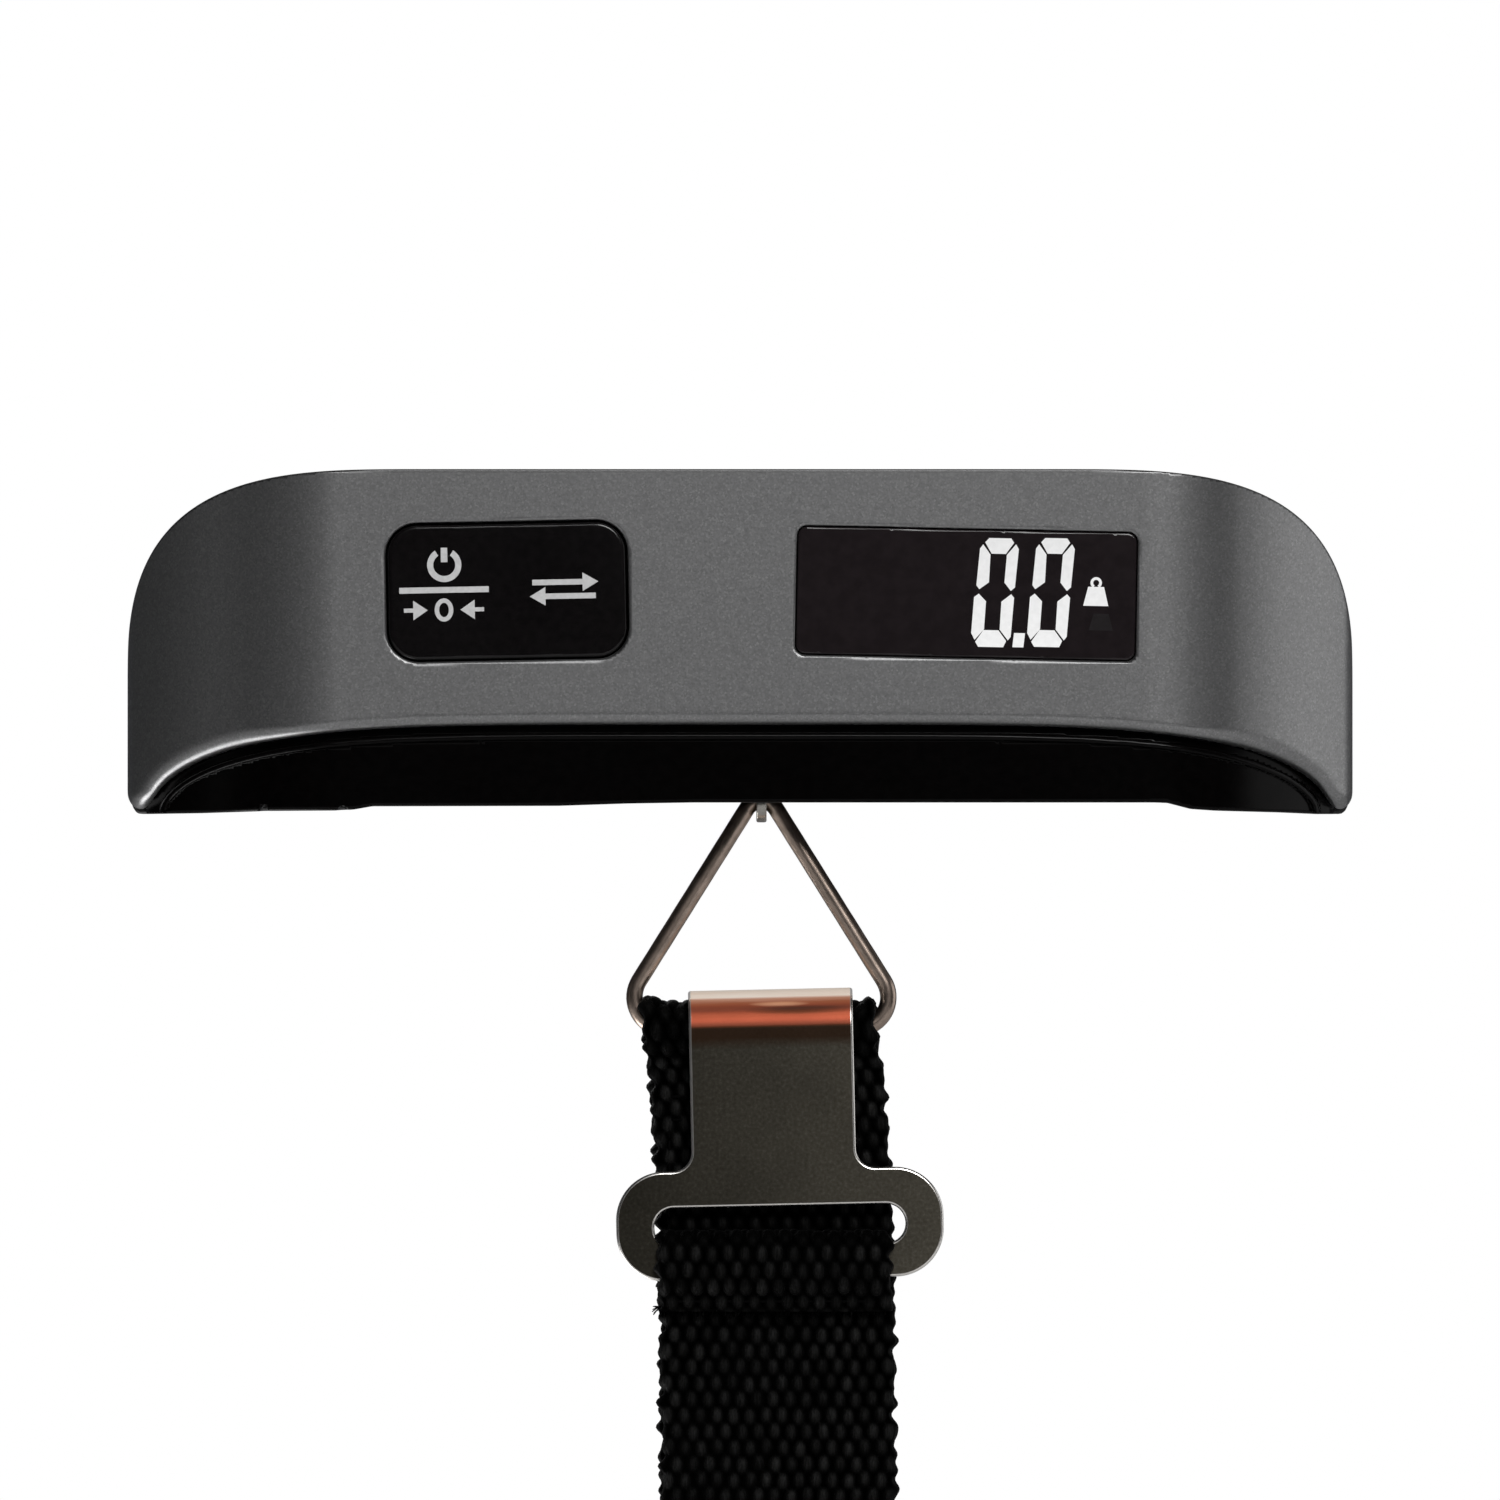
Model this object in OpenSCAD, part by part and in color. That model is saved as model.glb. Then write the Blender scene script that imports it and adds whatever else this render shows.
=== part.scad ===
// Digital luggage scale: a hand-grip body with a load cell, a triangular
// ring on a swivelling eye, and a webbing strap with a hook plate.
// Millimetres. +X to the right, -Y is the display side, +Z up.
// The origin is the centre of the grip body.

/* [Handle body] */
// Overall length of the grip body
body_len = 132; // [128:0.5:136]
// Depth of the grip body, front to back
body_dep = 27; // [26:0.5:29]
// Wall thickness of the covers
wall = 1.8; // [1.6:0.1:2.0]
// Depth position of the joint between front and rear covers
part_y = 5.5; // [5.4:0.05:5.6]
// Height of the arch in the lower edge of the front cover
arch_h = 9.3; // [8.6:0.1:9.8]

/* [Key and display] */
// Width of the rocker key
key_w = 25.8; // [24:0.1:26.4]
// Height of the rocker key
key_h = 14.8; // [13.6:0.1:15.2]
// Width of the display window
lcd_w = 36.6; // [34:0.1:37.4]
// Height of the display window
lcd_h = 13.8; // [12.6:0.1:14.4]
// Gap round the key and the display window
gap = 0.25; // [0.2:0.01:0.3]

/* [Ring] */
// Wire diameter of the triangular ring
wire_d = 1.8; // [1.6:0.05:1.9]
// Height of the ring's bar below the body centre
bar_z = -41.7; // [-41.9:0.1:-41.5]

/* [Hook plate] */
// Sheet thickness of the hook plate
plate_t = 1.2; // [1.0:0.05:1.3]
// Width of the hook plate's neck
neck_w = 17.7; // [17:0.1:19]
// Width of the slotted end of the hook plate
frame_w = 34.7; // [33:0.1:36]
// Width of the slot for the webbing
slot_w = 27; // [26:0.1:28]

/* [Webbing] */
// Width of the webbing
web_w = 25; // [23:0.1:25.4]
// Thickness of the webbing
web_t = 1.35; // [1.2:0.01:1.35]
// Radius of the bottom of the strap loop
loop_r = 11.6; // [9:0.1:11.8]

/* [Hidden] */

$fn = 48;
hair = 0.02; // clearance between pieces that bear on each other

// body limits
half_len = body_len / 2;
back_y = body_dep / 2;
front_y = -back_y;
top_z = 18.35;
bottom_z = -18.3;
// recess along the underside
recess_z = -17.4;
recess_left = -51;
recess_right = 47.6;

// key and display; a place on the front is [x, z]
key_at = [-25, 5.35];
key_r = 3.3;
key_axis_y = -9.2;
switch_dx = 8.5; // each switch from the key's centre
lcd_at = [24.3, 5.1];
lcd_x = lcd_at[0];
lcd_r = 1;

// circuit board faces
pcb_front = -6.6;
pcb_back = -5.4;
part_front = pcb_front - hair;
part_back = pcb_back + hair;

// load cell beam, and the backbone plate behind it
ring_x = 2.3;
beam_half = 5; // half depth of the beam
beam_z = -7.5;
beam_top = beam_z + 4;
beam_bottom = beam_z - 4;
beam_right = 45.5;
flexure_x = [15.5, 24.5];
bone_front = 5.6;
bone_back = 7.1;

// battery door, cell and contacts
door_x = -46.75;
door_half = 11.25;
door_bottom = -15.2;
hinge_y = back_y - 1.4;
hinge_z = 7.2;
cell_z = -5;
contact_y = [7.85, 8.1];
plus_tail = [-40, 1.5];
minus_tail = [-43, -2];

// screw places [x, z]
housing_at = [[-52, 12], [52, 11.5], [57, -3], [-31.5, -6]];
pcb_at = [[-4, 12.5], [-4, 0.5], [-42, 5.35], [48.8, 5]];
backbone_at = [[-20, -10.5], [-20, -1.5], [8, 0], [42, 0]];
beam_screw_at = [[34, beam_z], [41.5, beam_z]];

// ---- helpers ----

// extrude a drawing in (x, z) along Y, or one in (y, z) along X
module along_y(y0, y1) {
  translate([0, y1, 0]) rotate([90, 0, 0]) linear_extrude(height = y1 - y0)
    children();
}
module along_x(x0, x1) {
  translate([x0, 0, 0]) rotate([90, 0, 90]) linear_extrude(height = x1 - x0)
    children();
}
// rods parallel to an axis; a Y rod's place is [x, z]
module rod_x(r, x0, x1, y, z) {
  translate([x0, y, z]) rotate([0, 90, 0]) cylinder(r = r, h = x1 - x0);
}
module rod_y(r, y0, y1, at) {
  translate([at[0], y1, at[1]]) rotate([90, 0, 0]) cylinder(r = r, h = y1 - y0);
}
module rods_y(r, y0, y1, places) {
  for (at = places) rod_y(r, y0, y1, at);
}
module rod_z(r, z0, z1, x, y = 0) {
  translate([x, y, z0]) cylinder(r = r, h = z1 - z0);
}
module box(x0, x1, y0, y1, z0, z1) {
  translate([x0, y0, z0]) cube([x1 - x0, y1 - y0, z1 - z0]);
}
// box that reaches half to each side of x
module box_about(x, half, y0, y1, z0, z1) {
  box(x - half, x + half, y0, y1, z0, z1);
}
// box wider than the body
module slice(y0, y1, half_h = 30) {
  box(-80, 80, y0, y1, -half_h, half_h);
}

function reversed(list) = [for (i = [len(list) - 1:-1:0]) list[i]];
// a right half outline, joined to its mirror image
function both_sides(half) =
  concat(half, [for (p = reversed(half)) [-p[0], p[1]]]);
// unit vector at angle a, turning from -Y towards +X
function heading(a) = [sin(a), -cos(a)];
function arc(center, r, a0, a1, n, first = 0) =
  [for (i = [first:n]) center + r * heading(a0 + (a1 - a0) * i / n)];
// rounded rectangle outline, n steps to a corner
function round_rect(w, h, r, n = 6) = [for (q = [0:3]) for (i = [0:n])
  let (a = q * 90 + 90 * i / n,
       sx = (q == 0 || q == 3) ? 1 : -1, sy = (q < 2) ? 1 : -1)
  [sx * (w / 2 - r) + r * cos(a), sy * (h / 2 - r) + r * sin(a)]];
module round_slab(y0, y1, w, h, r) {
  along_y(y0, y1) polygon(round_rect(w, h, r));
}
module place(at) {
  translate([at[0], 0, at[1]]) children();
}

// ---- body form ----

// plan outline: radii of its arcs from the front face round to the back,
// and the headings where the first three meet
face_r = 18;
flank_r = 46;
nose_r = 6;
rear_r = 8;
turn1 = 35;
turn2 = 55;
face_c = [half_len - nose_r - (face_r - flank_r) * sin(turn1)
  - (flank_r - nose_r) * sin(turn2), front_y + face_r];
flank_c = face_c + (face_r - flank_r) * heading(turn1);
nose_c = flank_c + (flank_r - nose_r) * heading(turn2);
rear_c = [half_len - rear_r, back_y - rear_r];
function plan_points(inset) = both_sides(concat(
  arc(face_c, face_r - inset, 0, turn1, 6),
  arc(flank_c, flank_r - inset, turn1, turn2, 5, 1),
  arc(nose_c, nose_r - inset, turn2, 90, 6, 1),
  arc(rear_c, rear_r - inset, 90, 180, 8)));

// front outline: superellipse shoulders above, small round corners below
shoulder_w = 22.7;
shoulder_z = -2.5;
shoulder_pow = 2 / 2.47;
foot_r = 2.5;
function front_points(inset) = both_sides(concat(
  [for (i = [0:12]) let (t = 90 - 90 * i / 12)
    [half_len - shoulder_w
       + (shoulder_w - inset) * pow(max(0, cos(t)), shoulder_pow),
     shoulder_z
       + (top_z - shoulder_z - inset) * pow(max(0, sin(t)), shoulder_pow)]],
  inset > 0 ? [[half_len - inset, recess_z + inset]]
    : [for (i = [0:4]) let (t = 90 * i / 4)
        [half_len - foot_r + foot_r * cos(t), bottom_z + foot_r - foot_r * sin(t)]]));

module plan_prism(inset, z0 = -30, h = 60) {
  translate([0, 0, z0]) linear_extrude(height = h) polygon(plan_points(inset));
}
// upright band between two insets of the plan outline
module plan_band(outer, inner) {
  difference() {
    plan_prism(outer);
    plan_prism(inner, -31, 62);
  }
}
// the body's outer form, set in
module form(inset) {
  intersection() {
    plan_prism(inset);
    along_y(front_y - 1, back_y + 1) polygon(front_points(inset));
  }
}
// the space round the form
module outside(inset, y0, y1) {
  difference() {
    slice(y0, y1, 25);
    form(inset);
  }
}

// lower edge of the front cover
arch_half = half_len - 2.6;
function arch(x) =
  bottom_z + arch_h * pow(max(0, 1 - pow(abs(x) / arch_half, 5)), 0.55);
// 2n + 1 values of x, closer together towards the ends
function spread(x_end, n) = [for (i = [-n:n]) x_end * sin(i * 90 / n)];
function arch_line(xs, dz) = [for (x = xs) [x, arch(x) + dz]];
function arch_band(xs, up, down) = concat(arch_line(xs, up),
  [for (x = reversed(xs)) [x, max(arch(x) + down, bottom_z)]]);

// ---- covers and trim ----

post_r = 2.8; // posts for the housing screws

// rod on the key's pivot axis, longer than the pin by extra at each end
module key_axis_rod(r, extra = 0) {
  rod_z(r, -5.1 - extra, 15.8 + extra, key_at[0], key_axis_y);
}

module front_cover() {
  inner_y = front_y + 1; // posts start inside the front wall
  cut_y = front_y + wall + 0.4;
  color([0.42, 0.42, 0.42]) difference() {
    union() {
      difference() {
        form(0);
        form(wall);
        slice(part_y, 40);
      }
      // screw posts
      rods_y(post_r, inner_y, part_y - 0.1, housing_at);
      rods_y(2.1, inner_y, part_front, pcb_at);
      // ears for the key's pivot pin
      for (z = [[-5.4, -3.4], [14.1, 16.8]])
        box_about(key_at[0], 2, inner_y, -7.9, z[0], z[1]);
    }
    // nothing stands outside the form
    outside(0, front_y - 2, part_y + 1);
    // arch
    along_y(front_y - 2, part_y + 1)
      polygon(concat([[arch_half, -40], [-arch_half, -40]],
        arch_line(spread(arch_half, 12), 0)));
    // key and display openings
    place(key_at)
      round_slab(front_y - 1, cut_y, key_w + 2 * gap, key_h + 2 * gap, key_r + gap);
    place(lcd_at)
      round_slab(front_y - 1, cut_y, lcd_w + 2 * gap, lcd_h + 2 * gap, lcd_r + gap);
    // screw and pin holes
    rods_y(1.25, -4, part_y + 1, housing_at);
    rods_y(0.95, -10.4, -6, pcb_at);
    key_axis_rod(0.82, 0.1);
  }
}

trim_inset = 1.3;
trim_wall = 1.6;
trim_back = part_y - 0.05;
trim_drop = -0.25; // top of the trim from the cover's lower edge
module trim_outline() {
  foot_x = half_len - 4.2;
  polygon(concat(arch_line(spread(arch_half - 0.6, 12), trim_drop),
    [[foot_x, bottom_z], [recess_right + 1, bottom_z],
     [recess_right, recess_z], [recess_left, recess_z],
     [recess_left - 1, bottom_z], [-foot_x, bottom_z]]));
}
module base_trim() {
  color([0.03, 0.03, 0.03]) difference() {
    union() {
      // tray
      difference() {
        intersection() {
          plan_prism(trim_inset);
          along_y(front_y, trim_back) trim_outline();
        }
        intersection() {
          plan_prism(trim_inset + trim_wall, recess_z + trim_wall);
          box(-60, 60, -40, 40, -40, 40);
        }
      }
      // tongue behind the front cover's lower edge
      intersection() {
        plan_band(wall + 0.15, wall + 1.3);
        along_y(front_y, -5) polygon(arch_band([for (x = [-54:4:54]) x], 1.8, -1));
        // cleared round the screw posts
        difference() {
          box(-60, 60, -20, 0, -25, 5);
          rods_y(post_r + 0.2, -21, 1, housing_at);
        }
      }
      // bead just below the front cover
      intersection() {
        plan_band(0.55, 1.9);
        along_y(front_y, trim_back)
          polygon(arch_band(spread(61, 10), trim_drop, -1.45));
      }
    }
    // hole for the eye
    rod_z(4, -20, -14, ring_x);
  }
}

// rod on the door's hinge axis, past the door by extra at each end
module hinge_rod(r, extra = 0) {
  reach = door_half + extra;
  rod_x(r, door_x - reach, door_x + reach, hinge_y, hinge_z);
}

module rear_cover() {
  opening_half = door_half + 0.2;
  color([0.07, 0.07, 0.07]) difference() {
    union() {
      difference() {
        form(0);
        form(wall);
        slice(-40, part_y + 0.05);
        box(recess_left, recess_right, -40, 40, -30, recess_z);
      }
      difference() {
        union() {
          rods_y(post_r, part_y + 0.1, back_y - 1, housing_at);
          rods_y(2.4, bone_back + hair, back_y - 1, backbone_at);
          // ears for the door's hinge pin
          for (s = [-1, 1])
            box_about(door_x + s * (door_half + 1.4), 1.2,
              hinge_y - 1.9, back_y - 0.6, hinge_z - 2, hinge_z + 2);
          // tray for the cell
          box_about(door_x, 11.6, 6.6, back_y - 1, -16.4, 6.4);
        }
        outside(0.4, -1, back_y + 1);
        box_about(door_x, 10.5, 7.8, back_y + 1, cell_z - 10.4, cell_z + 10.4);
      }
    }
    // door opening, hinge clearance and latch notch
    box_about(door_x, opening_half, back_y - 1.75, back_y + 1,
      door_bottom - 0.25, hinge_z + 1.5);
    box_about(door_x, opening_half, hinge_y - 1.5, back_y + 1,
      hinge_z - 1.5, hinge_z + 1.5);
    box_about(door_x, 4.3, 9.3, back_y + 1, -20, -15.3);
    hinge_rod(0.62, 2.3);
    // holes for the contact tails
    rods_y(0.5, 6, 8, [plus_tail, minus_tail]);
    // housing screw holes with head recesses
    rods_y(1.35, part_y - 1, back_y + 1, housing_at);
    rods_y(2.5, back_y - 1.5, back_y + 1, housing_at);
    rods_y(1.05, 5, 11.3, backbone_at);
  }
}

module battery_door() {
  inner_y = back_y - 1.5;
  outer_y = back_y - 0.1;
  color([0.08, 0.08, 0.08]) difference() {
    union() {
      box_about(door_x, door_half, inner_y, outer_y, door_bottom, hinge_z);
      hinge_rod(1.3);
      // latch that wraps under the lower edge
      box_about(door_x, 4, 9.7, outer_y, -18.2, -15.6);
      box_about(door_x, 4, inner_y, outer_y, -16, -15);
      // finger ribs
      for (i = [0:3])
        box_about(door_x, 5, back_y - 0.3, back_y, -13.2 + i * 1.4, -12.6 + i * 1.4);
    }
    hinge_rod(0.65, 1);
  }
}

module door_hinge_pin() {
  color([0.7, 0.7, 0.72]) hinge_rod(0.6, 2.2);
}

// ---- key and switches ----

module key_cap() {
  face_back = -10.4;
  barrel_r = 1.7;
  barrel_half = 5;
  color([0.05, 0.045, 0.045]) place(key_at) difference() {
    union() {
      round_slab(front_y - 0.2, face_back, key_w, key_h, key_r);
      // flange behind the cover
      round_slab(-11.1, face_back, key_w + 1.4, key_h + 1.4, key_r + 0.5);
      // pivot barrel
      rod_z(barrel_r, -barrel_half, barrel_half, 0, key_axis_y);
      box(-barrel_r, barrel_r, -10.8, key_axis_y, -barrel_half, barrel_half);
      // posts that press the switches
      for (s = [-1, 1]) rod_y(1.2, -10.9, -9.38, [s * switch_dx, 0]);
    }
    rod_z(0.85, -6, 6, 0, key_axis_y);
    // hollow behind the face
    for (s = [-1, 1]) translate([s * 7, 0, 0]) difference() {
      round_slab(-11.6, -9, 9.4, 11.6, 2);
      rod_y(2, -12, -8, [s * (switch_dx - 7), 0]);
    }
  }
}

module key_pivot_pin() {
  color([0.7, 0.7, 0.72]) key_axis_rod(0.8);
}

// side is -1 for left, 1 for right
function switch_at(side) = key_at + [side * switch_dx, 0];
module switch_bodies() {
  half = 3;
  color([0.12, 0.12, 0.13]) for (s = [-1, 1]) difference() {
    box_about(switch_at(s)[0], half, -8.6, part_front,
      key_at[1] - half, key_at[1] + half);
    rod_y(1.65, -9, -7.1, switch_at(s));
  }
}
module plunger(side) {
  color([0.8, 0.8, 0.76]) rod_y(1.6, -9.3, -7.6, switch_at(side));
}
module switch_plunger_left() { plunger(-1); }
module switch_plunger_right() { plunger(1); }

// ---- display ----

glass_half = 20;
light_half = 18.3;

module display_lens() {
  color([0.1, 0.09, 0.1]) place(lcd_at) {
    round_slab(front_y + 0.12, front_y + wall + 0.2, lcd_w, lcd_h, lcd_r);
    // flange behind the cover
    round_slab(front_y + wall + 0.05, front_y + wall + 0.5,
      lcd_w + 1.8, lcd_h + 1.6, 1.6);
  }
}
module lcd_glass() {
  joint_y = -10.05;
  color([0.12, 0.13, 0.14]) {
    box_about(lcd_x, glass_half, -11.1, joint_y, -3.2, 13.4);
    box_about(lcd_x, glass_half, joint_y, -9, -2.6, 12.6);
  }
}
module lcd_frame() {
  color([0.1, 0.1, 0.1]) difference() {
    box_about(lcd_x, 21.4, -11.05, -6.65, -4.5, 14.7);
    box_about(lcd_x, glass_half + 0.1, -12, -6, -3.3, 13.5);
  }
}
module lcd_backlight() {
  color([0.85, 0.85, 0.82]) difference() {
    box_about(lcd_x, light_half, -8.9, -6.9, -0.6, 11.3);
    box_about(lcd_x, light_half - 3, -7.4, -6.8, 2, 8.7);
  }
}
module zebra_strips() {
  color([0.9, 0.55, 0.55]) for (z = [[11.6, 13.2], [-2.4, -0.9]])
    box_about(lcd_x, light_half, -8.98, part_front, z[0], z[1]);
}

// ---- circuit board ----

module main_pcb() {
  color([0.05, 0.3, 0.12]) difference() {
    union() {
      box(-44.5, 46.5, pcb_front, pcb_back, -2.5, 15.3);
      // tab for the right-hand screw
      box(46, 51, pcb_front, pcb_back, 1.5, 8.5);
    }
    rods_y(1.05, -7, -5, pcb_at);
  }
}
module controller_chip() {
  left = 16;
  right = 26;
  lead = 1.4;
  pitch = 0.95;
  color([0.06, 0.06, 0.06]) {
    box(left, right, part_back, -3.9, 3, 13);
    for (i = [0:9]) for (x = [left - lead, right])
      box(x, x + lead, part_back, -5.1, 3.6 + i * pitch, 4.0 + i * pitch);
  }
}
module pcb_components() {
  pitch = 4;
  color([0.6, 0.5, 0.35]) {
    // crystal, capacitors and the amplifier chip
    box(31, 35, part_back, -3.5, 8.5, 10.3);
    rods_y(2, part_back, -2.6, [[38, 3], [-12, 10]]);
    box(4.5, 9, part_back, -4.2, 3, 7);
    // two rows of small parts
    for (i = [0:5])
      box(-30 + i * pitch, -28.4 + i * pitch, part_back, -4.7, 2.4, 3.2);
    for (i = [0:4])
      box(-30 + i * pitch, -29.2 + i * pitch, part_back, -4.7, 6.6, 8.2);
  }
}

// ---- battery ----

module coin_cell() {
  step_y = 9;
  color([0.78, 0.78, 0.8]) {
    rod_y(10, step_y, 11.5, [door_x, cell_z]);
    rod_y(8.9, 8.4, step_y, [door_x, cell_z]);
  }
}
tail_half = 0.6; // half width of a contact's strip at its tail
module contact_tail(at) {
  rod_y(0.35, 5.9, 7.95, at);
}
module battery_contact_positive() {
  z = plus_tail[1];
  color([0.83, 0.77, 0.55]) {
    // blade beside the cell, and the strip to its tail
    box_about(door_x + 10.27, 0.15, 7.9, 11.7, cell_z - 2, cell_z + 7);
    box(plus_tail[0] - tail_half, door_x + 10.3, contact_y[0], contact_y[1],
      z - tail_half, z + tail_half);
    contact_tail(plus_tail);
  }
}
module battery_contact_negative() {
  color([0.83, 0.77, 0.55]) {
    // strip in front of the cell, and its arm to the tail
    box(-52, -42, contact_y[0], contact_y[1], cell_z - 1.2, cell_z + 1.2);
    box_about(minus_tail[0], tail_half, contact_y[0], contact_y[1],
      cell_z - 1, minus_tail[1] + tail_half);
    contact_tail(minus_tail);
    // pad facing the cell
    box(-50, -48.4, 8.05, 8.38, cell_z - 0.8, cell_z + 0.8);
  }
}
module battery_wires() {
  color([0.6, 0.05, 0.04])
    rods_y(0.6, part_back, 5.88, [plus_tail, minus_tail]);
}

// ---- load cell ----

module load_cell_beam() {
  slot_half = 0.8;
  color([0.72, 0.73, 0.74]) difference() {
    box(ring_x - 5, beam_right, -beam_half, beam_half, beam_bottom, beam_top);
    // binocular flexure holes and the slot that joins them
    for (x = flexure_x) rod_y(2.9, -6, 6, [x, beam_z]);
    box(flexure_x[0], flexure_x[1], -6, 6, beam_z - slot_half, beam_z + slot_half);
    rod_z(2.05, -13, -2, ring_x);
    rods_y(1.6, -6, 6, beam_screw_at);
  }
}
gauge_top = beam_top + 0.3;
module strain_gauges() {
  color([0.8, 0.55, 0.2]) for (x = flexure_x) {
    box_about(x, 3.5, -2.5, 2.5, beam_top + hair, gauge_top);
    box_about(x, 3.5, -2.5, 2.5, beam_bottom - 0.3, beam_bottom - hair);
  }
}
module gauge_wires() {
  r = 0.35;
  bend_y = -1.5;
  bend_z = 1;
  color([0.75, 0.75, 0.72]) for (i = [0:3]) {
    x = 13.5 + i * 4;
    rod_z(r, gauge_top + hair, bend_z, x, bend_y);
    translate([x, bend_y, bend_z]) sphere(r = r);
    rod_y(r, part_back, bend_y, [x, bend_z]);
  }
}
module load_cell_spacer() {
  color([0.75, 0.75, 0.75]) difference() {
    box(30.5, beam_right, beam_half, bone_front, beam_bottom, beam_top);
    rods_y(1.6, 4, 7, beam_screw_at);
  }
}
module backbone_plate() {
  color([0.6, 0.61, 0.62]) difference() {
    box(-24, 46.5, bone_front, bone_back, -13.5, 2.6);
    rods_y(1.55, 5, 8, beam_screw_at);
    rods_y(1.1, 5, 8, backbone_at);
  }
}

// ---- screws ----

module load_cell_screws() {
  head_y = -beam_half - hair;
  color([0.7, 0.7, 0.7]) for (at = beam_screw_at) {
    rod_y(1.5, head_y, 7.6, at);
    // head with a hexagon socket
    difference() {
      rod_y(2.6, -6.9, head_y, at);
      translate([at[0], -5.9, at[1]]) rotate([90, 0, 0])
        cylinder(r = 1.4, h = 2, $fn = 6);
    }
  }
}
module backbone_screws() {
  color([0.7, 0.7, 0.7]) {
    rods_y(1.0, 5.5, 11.1, backbone_at);
    rods_y(1.9, 5.15, bone_front - hair, backbone_at);
  }
}
module housing_screws() {
  color([0.35, 0.35, 0.36]) for (at = housing_at) {
    rod_y(1.2, -3.6, back_y - 1.4, at);
    // head with a cross recess: half sizes in x and z
    difference() {
      rod_y(2.3, back_y - 1.48, back_y - 0.25, at);
      for (half = [[1.2, 0.25], [0.25, 1.2]])
        box_about(at[0], half[0], back_y - 0.85, back_y,
          at[1] - half[1], at[1] + half[1]);
    }
  }
}
module pcb_screws() {
  color([0.7, 0.7, 0.7]) {
    rods_y(0.9, -10.2, -5.3, pcb_at);
    rods_y(1.7, part_back, -4.5, pcb_at);
  }
}

// ---- eye and ring ----

eye_z = -17.34;
eye_half = 0.8; // half thickness of the eye
module eye_bolt() {
  color([0.62, 0.62, 0.62]) difference() {
    union() {
      // shank and collar
      rod_z(2.0, -14.5, 1.4, ring_x);
      rod_z(3.5, -13.2, -11.6, ring_x);
      // eye and the web that joins it to the shank
      rod_x(2.4, ring_x - eye_half, ring_x + eye_half, 0, eye_z);
      box_about(ring_x, eye_half, -1.9, 1.9, -16, -13);
    }
    rod_x(1.4, ring_x - 3, ring_x + 3, 0, eye_z);
  }
}
nut_z = -2.85;
module eye_nut() {
  color([0.66, 0.66, 0.66]) difference() {
    translate([ring_x, 0, nut_z]) cylinder(r = 4.04, h = 3.2, $fn = 6);
    rod_z(2.02, -4, 2, ring_x);
  }
}
module eye_washer() {
  color([0.72, 0.72, 0.72]) difference() {
    rod_z(4.4, -3.46, nut_z - hair, ring_x);
    rod_z(2.08, -4, -2, ring_x);
  }
}

// ring: straight legs, straight bar and rounded corners, drawn in (x, z)
wire_r = wire_d / 2;
apex_z = -15.5; // where the legs' centre lines would cross
base_half = 16.4;
leg_angle = atan(base_half / (apex_z - bar_z)); // from the vertical
apex_r = 1.9;
apex_cz = apex_z - apex_r / sin(leg_angle);
corner_r = 3.4;
corner_x = base_half - corner_r / tan((90 - leg_angle) / 2);
corner_z = bar_z + corner_r;
module bend(center, r, a0, a1) {
  translate([center[0], center[1], 0]) rotate([0, 0, a0])
    rotate_extrude(angle = a1 - a0)
    translate([r, 0]) circle(r = wire_r, $fn = 24);
}
module wire(a, b) {
  overlap = 0.15;
  // a hair thinner than the bends, whose ends take it in
  translate([a[0], a[1], 0])
    rotate([0, 0, atan2(b[1] - a[1], b[0] - a[0])])
    translate([-overlap, 0, 0]) rotate([0, 90, 0])
    cylinder(r = wire_r - 0.015, h = norm(b - a) + 2 * overlap, $fn = 24);
}
module triangle_ring() {
  out = [cos(leg_angle), sin(leg_angle)]; // square to the right leg
  color([0.55, 0.52, 0.48]) translate([ring_x, 0, 0]) rotate([90, 0, 0]) {
    bend([0, apex_cz], apex_r, leg_angle, 180 - leg_angle);
    bend([corner_x, corner_z], corner_r, -90, leg_angle);
    bend([-corner_x, corner_z], corner_r, 180 - leg_angle, 270);
    wire([-corner_x, bar_z], [corner_x, bar_z]);
    for (s = [-1, 1])
      wire([s * apex_r * out[0], apex_cz + apex_r * out[1]],
           [s * (corner_x + corner_r * out[0]), corner_z + corner_r * out[1]]);
  }
}

// ---- hook plate: a flat slotted end, a neck, and a half-round hook ----

plate_x = 3.4;
hook_in = 3.05;
hook_out = hook_in + plate_t;
frame_top = -56.8;
frame_bottom = -68.6;
slot_z = -62.6;
slot_h = 4.2;
fillet_r = 2.1;
module plate_outline() {
  neck_half = neck_w / 2;
  fillet_z = frame_top + fillet_r;
  difference() {
    union() {
      translate([0, (frame_top + frame_bottom) / 2])
        polygon(round_rect(frame_w, frame_top - frame_bottom, 5.2, 8));
      translate([-neck_half, -60]) square([neck_w, 60 + bar_z]);
      // fillets where the neck meets the slotted end
      for (s = [-1, 1]) polygon(concat(
        [[s * (neck_half - 0.5), frame_top - 0.5], [s * (neck_half - 0.5), fillet_z]],
        [for (i = [0:6]) let (a = 90 * i / 6)
          [s * (neck_half + fillet_r - fillet_r * cos(a)),
           fillet_z - fillet_r * sin(a)]],
        [[s * (neck_half + fillet_r), frame_top - 0.5]]));
    }
    translate([0, slot_z]) polygon(round_rect(slot_w, slot_h, slot_h / 2 - 0.01, 8));
  }
}
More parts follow.
